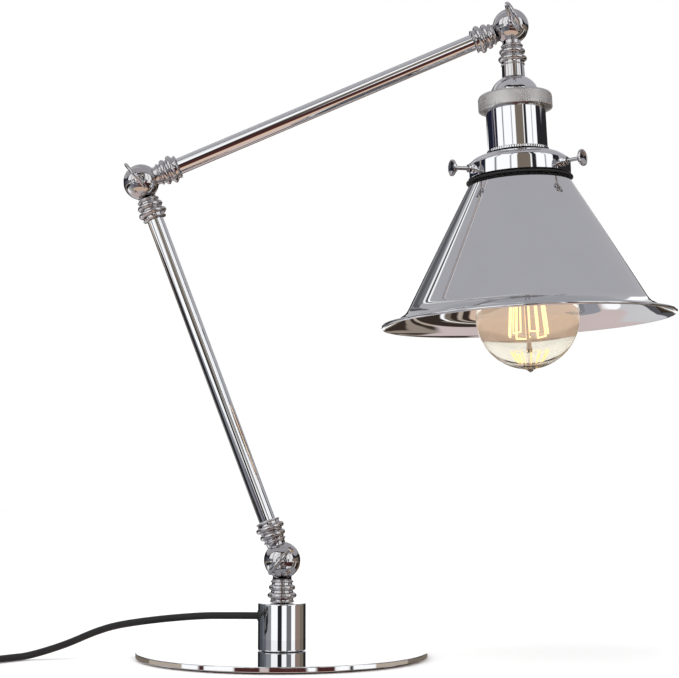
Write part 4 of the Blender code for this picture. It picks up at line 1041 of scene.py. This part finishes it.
strap = bmesh.new()
tie_corners = [(TIE_INNER, 0.75 * MM), (TIE_OUTER, 0.75 * MM),
               (TIE_OUTER, 13.0 * MM), (TIE_INNER, 13.0 * MM)]
tie_line = rounded(tie_corners, 2.4 * MM, closed=True, steps=6)
tie_loop = [strap.verts.new((x, -4.2 * MM, z)) for x, z in tie_line]
tie_edges = [strap.edges.new((a, b)) for a, b in zip(tie_loop, tie_loop[1:] + tie_loop[:1])]
raised = bmesh.ops.extrude_edge_only(strap, edges=tie_edges)["geom"]
bmesh.ops.translate(strap, verts=verts_in(raised), vec=(0, 8.4 * MM, 0))
bmesh.ops.recalc_face_normals(strap, faces=strap.faces)
bmesh.ops.solidify(strap, geom=strap.faces[:], thickness=0.6 * MM)
bmesh.ops.recalc_face_normals(strap, faces=strap.faces)
tie_centre = Matrix.Translation((COIL_CENTRE[0] * MM, COIL_CENTRE[1] * MM, 0))
tie_place = tie_centre @ Matrix.Rotation(TIE_BEARING, 4, "Z")
fit("coil_tie", strap, tie_place, cable)
boot = [(0, 0), (3.4 * MM, 0), (3.6 * MM, 0.6 * MM)]
for rib in range(5):
    start = 1.4 * MM + rib * 3.6 * MM
    swell = 3.7 * MM + rib * 0.28 * MM
    boot += [(swell, start), (swell + 0.1 * MM, start + 2.2 * MM), (swell - 0.6 * MM, start + 2.5 * MM),
             (swell - 0.5 * MM, start + 3.3 * MM)]
boot += [(5.2 * MM, 19.8 * MM), (5.2 * MM, PLUG_BOOT + 1 * MM), (0, PLUG_BOOT + 1 * MM)]
plug = lathe(boot, steps=40)
bmesh.ops.rotate(plug, verts=plug.verts, cent=(0, 0, 0), matrix=Matrix.Rotation(-math.pi / 2, 3, "X"))
plug_plan = [(-8 * MM, PLUG_BOOT), (8 * MM, PLUG_BOOT), (PLUG_HALF_WIDE - 0.8 * MM, PLUG_BOOT + 10 * MM),
             (PLUG_HALF_WIDE, PLUG_BOOT + 14 * MM), (PLUG_HALF_WIDE, PLUG_BOOT + PLUG_LENGTH),
             (-PLUG_HALF_WIDE, PLUG_BOOT + PLUG_LENGTH), (-PLUG_HALF_WIDE, PLUG_BOOT + 14 * MM),
             (0.8 * MM - PLUG_HALF_WIDE, PLUG_BOOT + 10 * MM)]
merge(plug, slab(plug_plan, -PLUG_HALF_THICK, PLUG_HALF_THICK, 1.6 * MM))
fit("plug_body", plug, Matrix.Translation(PLUG_PLACE), plastic)
for number, side in enumerate((-1, 1), 1):
    pin_outline = rounded(
        [(0, 46.3 * MM), (2 * MM, 46.3 * MM), (2 * MM, PIN_END - 0.8 * MM), (1.2 * MM, PIN_END),
         (0, PIN_END)],
        0.4 * MM,
    )
    pin = lathe(pin_outline, steps=32)
    pin_start = Matrix.Translation(PLUG_PLACE + Vector((side * PIN_OFFSET, 0, 0)))
    pin_place = pin_start @ Matrix.Rotation(-math.pi / 2, 4, "X")
    fit(f"plug_pin_{number}", pin, pin_place, brass)

# ----------------------------------------
# Pieces inside the lamp
# The screw under the plate, the lock nut, the contact, the friction discs and the wires only show when the
# lamp is taken apart. They keep their own shapes and get the finish of what they are made of.


def vulcan_fibre():
    """Red-brown vulcanised fibre with a fibrous cut face."""
    material, shader, start = new_finish("vulcanised fibre")
    fibres = grain(start, 400, 6.0)
    tint(start, fibres, (0.24, 0.07, 0.035), (0.42, 0.16, 0.08)).to(shader, "Base Color")
    (0.6 + fibres * 0.25).to(shader, "Roughness")
    relief(start, shader, fibres, 0.06 * MM, 0.6)
    return material


fibre = vulcan_fibre()
inner_finishes = {
    "base_screw": nickel, "holder_lock_nut": nickel, "centre_contact": brass,
    "lower_arm_wire": cable, "upper_arm_wire": cable,
    "lower_friction_disc": fibre, "middle_friction_disc": fibre, "head_friction_disc": fibre,
}
for node, material in inner_finishes.items():
    inner = frame["nodes"][node]
    inner.data.materials.clear()
    inner.data.materials.append(material)

# ----------------------------------------
# Studio
# A pale floor under a soft overhead light, in a white room. What polished chrome reflects of the room is
# set by direction: a grey ceiling, white walls with dark gaps at the sides, and a warm dark floor in front.

FLOOR_HALF = 6.0
floor_mesh = bmesh.new()
bmesh.ops.create_grid(floor_mesh, x_segments=1, y_segments=1, size=FLOOR_HALF,
                      matrix=Matrix.Translation((0, 0, -0.2 * MM)))
floor_data = bpy.data.meshes.new("floor")
floor_mesh.to_mesh(floor_data)
floor_mesh.free()
floor = bpy.data.objects.new("floor", floor_data)
bpy.context.scene.collection.objects.link(floor)
floor.visible_glossy = False
pale, pale_shader, pale_start = new_finish("pale floor", Roughness=0.9)
scuffs = grain(pale_start, 3, 2.0)
tint(pale_start, scuffs, (0.93, 0.93, 0.93), (0.95, 0.95, 0.95)).to(pale_shader, "Base Color")
floor_data.materials.append(pale)

overhead = bpy.data.lights.new("overhead", "AREA")
overhead.shape = "DISK"
overhead.size = 1.6
overhead.energy = 9
overhead_lamp = bpy.data.objects.new("overhead", overhead)
overhead_lamp.location = (-0.3, -0.5, 2.2)
overhead_lamp.rotation_euler = (math.radians(12), math.radians(-8), 0)
overhead_lamp.visible_glossy = False
overhead_lamp.visible_camera = False
bpy.context.scene.collection.objects.link(overhead_lamp)

WHITE = (1.25, 1.25, 1.25)
GREY = (0.47, 0.465, 0.49)
DARK = (0.025, 0.024, 0.027)
NAVY = (0.016, 0.018, 0.035)
TAN = (0.22, 0.18, 0.14)
PALE_TAN = (0.55, 0.46, 0.38)
LINE = (0.30, 0.30, 0.31)
RED_BROWN = (0.085, 0.028, 0.026)
BROWN = (0.045, 0.032, 0.026)
PINK = (0.72, 0.60, 0.58)
PEACH = (0.85, 0.62, 0.47)
SLATE = (0.15, 0.16, 0.19)
# Each band runs from its bearing, in degrees, to the next one's. 0 is to the front and 90 to the right.
WALL_LEFT = [
    (-180, WHITE), (-152, NAVY), (-112, (0.10, 0.10, 0.15)), (-104, NAVY), (-84, WHITE),
    (-60, LINE), (-55, WHITE), (-24, LINE), (-21, WHITE), (-8, TAN),
]
WALL_RIGHT = [
    (-180, TAN), (22, WHITE), (25, DARK), (35, WHITE), (56, LINE), (59, WHITE), (78, DARK),
    (104, LINE), (109, DARK), (150, WHITE),
]
LOW_WALL = [
    (-180, WHITE), (-163, DARK), (-125, (0.09, 0.10, 0.12)), (-100, (0.17, 0.18, 0.20)),
    (-76, (0.32, 0.33, 0.35)), (-48, WHITE), (-16, DARK), (4, WHITE), (26, (0.20, 0.20, 0.21)),
    (50, WHITE), (70, (0.32, 0.24, 0.20)), (100, TAN), (128, DARK), (163, WHITE),
]
SKIRTING = [
    (-180, TAN), (-120, PALE_TAN), (-78, WHITE), (-62, RED_BROWN), (-57, WHITE), (-32, RED_BROWN),
    (-12, PINK), (-5, RED_BROWN), (24, WHITE), (31, RED_BROWN), (46, WHITE), (58, BROWN),
    (61, WHITE), (82, PALE_TAN), (120, TAN),
]
GROUND = [
    (-180, (0.70, 0.69, 0.70)), (-122, WHITE), (-98, (0.50, 0.50, 0.52)),
    (-70, (0.26, 0.27, 0.30)), (-45, SLATE), (-12, RED_BROWN), (60, BROWN), (78, PALE_TAN),
    (84, BROWN), (92, TAN), (100, WHITE), (105, BROWN), (145, PALE_TAN), (151, BROWN),
    (158, (0.35, 0.29, 0.24)), (165, BROWN),
]
UNDERFOOT = [
    (-180, PINK), (-85, (0.45, 0.42, 0.42)), (-64, PEACH), (70, BROWN), (80, PALE_TAN),
    (86, BROWN), (93, TAN), (101, WHITE), (106, TAN), (116, BROWN), (145, PINK),
]
KERB = [
    (-180, (0.10, 0.10, 0.11)), (-135, (0.30, 0.29, 0.30)), (-118, DARK),
    (-70, (0.26, 0.27, 0.30)),
]
CEILING = [
    (-180, GREY), (-139.5, WHITE), (-136.4, DARK), (-132.8, WHITE), (-130, GREY),
]
STREAKS = [
    (-180, GREY), (-171, (0.10, 0.10, 0.11)), (-164, (0.24, 0.24, 0.26)),
    (-158, (0.12, 0.12, 0.13)), (-148, (0.20, 0.20, 0.22)), (-139.5, WHITE), (-136.4, DARK),
    (-132.8, WHITE), (-130, GREY), (162, WHITE), (167, GREY),
]
BAND_BLUR = 0.6


def bands(start, around, table):
    """A colour by bearing, with each band running into the next over a degree or two."""
    stops = [(0, table[0][1])]
    for (_, before), (angle, after) in zip(table, table[1:]):
        stops += [((angle - BAND_BLUR + 180) / 360, before), ((angle + BAND_BLUR + 180) / 360, after)]
    return start.make("ShaderNodeValToRGB", {"stops": stops}, {"Fac": around}, "Color")


def ramp_up(start, value, low, high):
    """0 below low and 1 above high, smoothly."""
    return start.make("ShaderNodeMapRange", {"interpolation_type": "SMOOTHSTEP"},
                      {"Value": value, "From Min": low, "From Max": high})


room = bpy.data.worlds.new("studio")
bpy.context.scene.world = room
room.use_nodes = True
room.cycles.sampling_method = "NONE"
start = Wire(room.node_tree)
way = start.make("ShaderNodeTexCoord", {}, {}, "Generated")
axes = start.make("ShaderNodeSeparateXYZ", {}, {"Vector": way}, "X")
axis_node = axes.socket.node
across, deep, rise = (Wire(room.node_tree, axis_node.outputs[axis]) for axis in "XYZ")
around = start.math("ARCTAN2", across, deep * -1) * (0.5 / math.pi) + 0.5
front = ramp_up(start, deep, 0.25, -0.45)
right_half = start.math("GREATER_THAN", around, 0.5)
wall = blend(start, right_half, bands(start, around, WALL_LEFT), bands(start, around, WALL_RIGHT))
ceiling_edge = 0.27 + front * 0.55
over_edge = rise - ceiling_edge
cornice = ramp_up(start, over_edge, -0.07, -0.06) * (1 - ramp_up(start, over_edge, -0.005, 0.005))
seen = blend(start, ramp_up(start, rise, 0.13, 0.15), bands(start, around, LOW_WALL), wall)
seen = blend(start, cornice, seen, (*DARK, 1))
seen = blend(start, ramp_up(start, over_edge, 0.0, 0.01), seen, bands(start, around, STREAKS))
overhead_share = ramp_up(start, rise, 0.45, 0.48) * ramp_up(start, over_edge, 0.0, 0.01)
seen = blend(start, overhead_share, seen, bands(start, around, CEILING))
seen = blend(start, ramp_up(start, rise, -0.10, -0.105), seen, bands(start, around, SKIRTING))
seen = blend(start, ramp_up(start, rise, -0.15, -0.16), seen, bands(start, around, GROUND))
left_side = ramp_up(start, around, 0.31, 0.30)
kerb = ramp_up(start, rise, -0.15, -0.16) * ramp_up(start, rise, -0.36, -0.34) * left_side
seen = blend(start, kerb, seen, bands(start, around, KERB))
seen = blend(start, ramp_up(start, rise, -0.60, -0.66), seen, bands(start, around, UNDERFOOT))
seen = blend(start, ramp_up(start, rise, -0.88, -0.90), seen, (*PINK, 1))
light_path = start.make("ShaderNodeLightPath", {}, {}, "Is Glossy Ray")
through = Wire(room.node_tree, light_path.socket.node.outputs["Is Transmission Ray"])
scattered = Wire(room.node_tree, light_path.socket.node.outputs["Is Diffuse Ray"])
crossed = Wire(room.node_tree, light_path.socket.node.outputs["Transmission Depth"])
behind_glass = start.math("GREATER_THAN", crossed, 0.5)
# Rays that have passed through the bulb's glass see a peach room: a painted warm glow that stands in for the
# bulb's light on the shade's inside.
seen = blend(start, behind_glass * 0.75, seen, (*PEACH, 1))
sky = blend(start, light_path * (1 - through), (1, 1, 1, 1), seen)
background = room.node_tree.nodes["Background"]
sky.to(background, "Color")
(1 + scattered * 0.2 + through * 0.12).to(background, "Strength")
bpy.context.scene.view_settings.view_transform = "Standard"
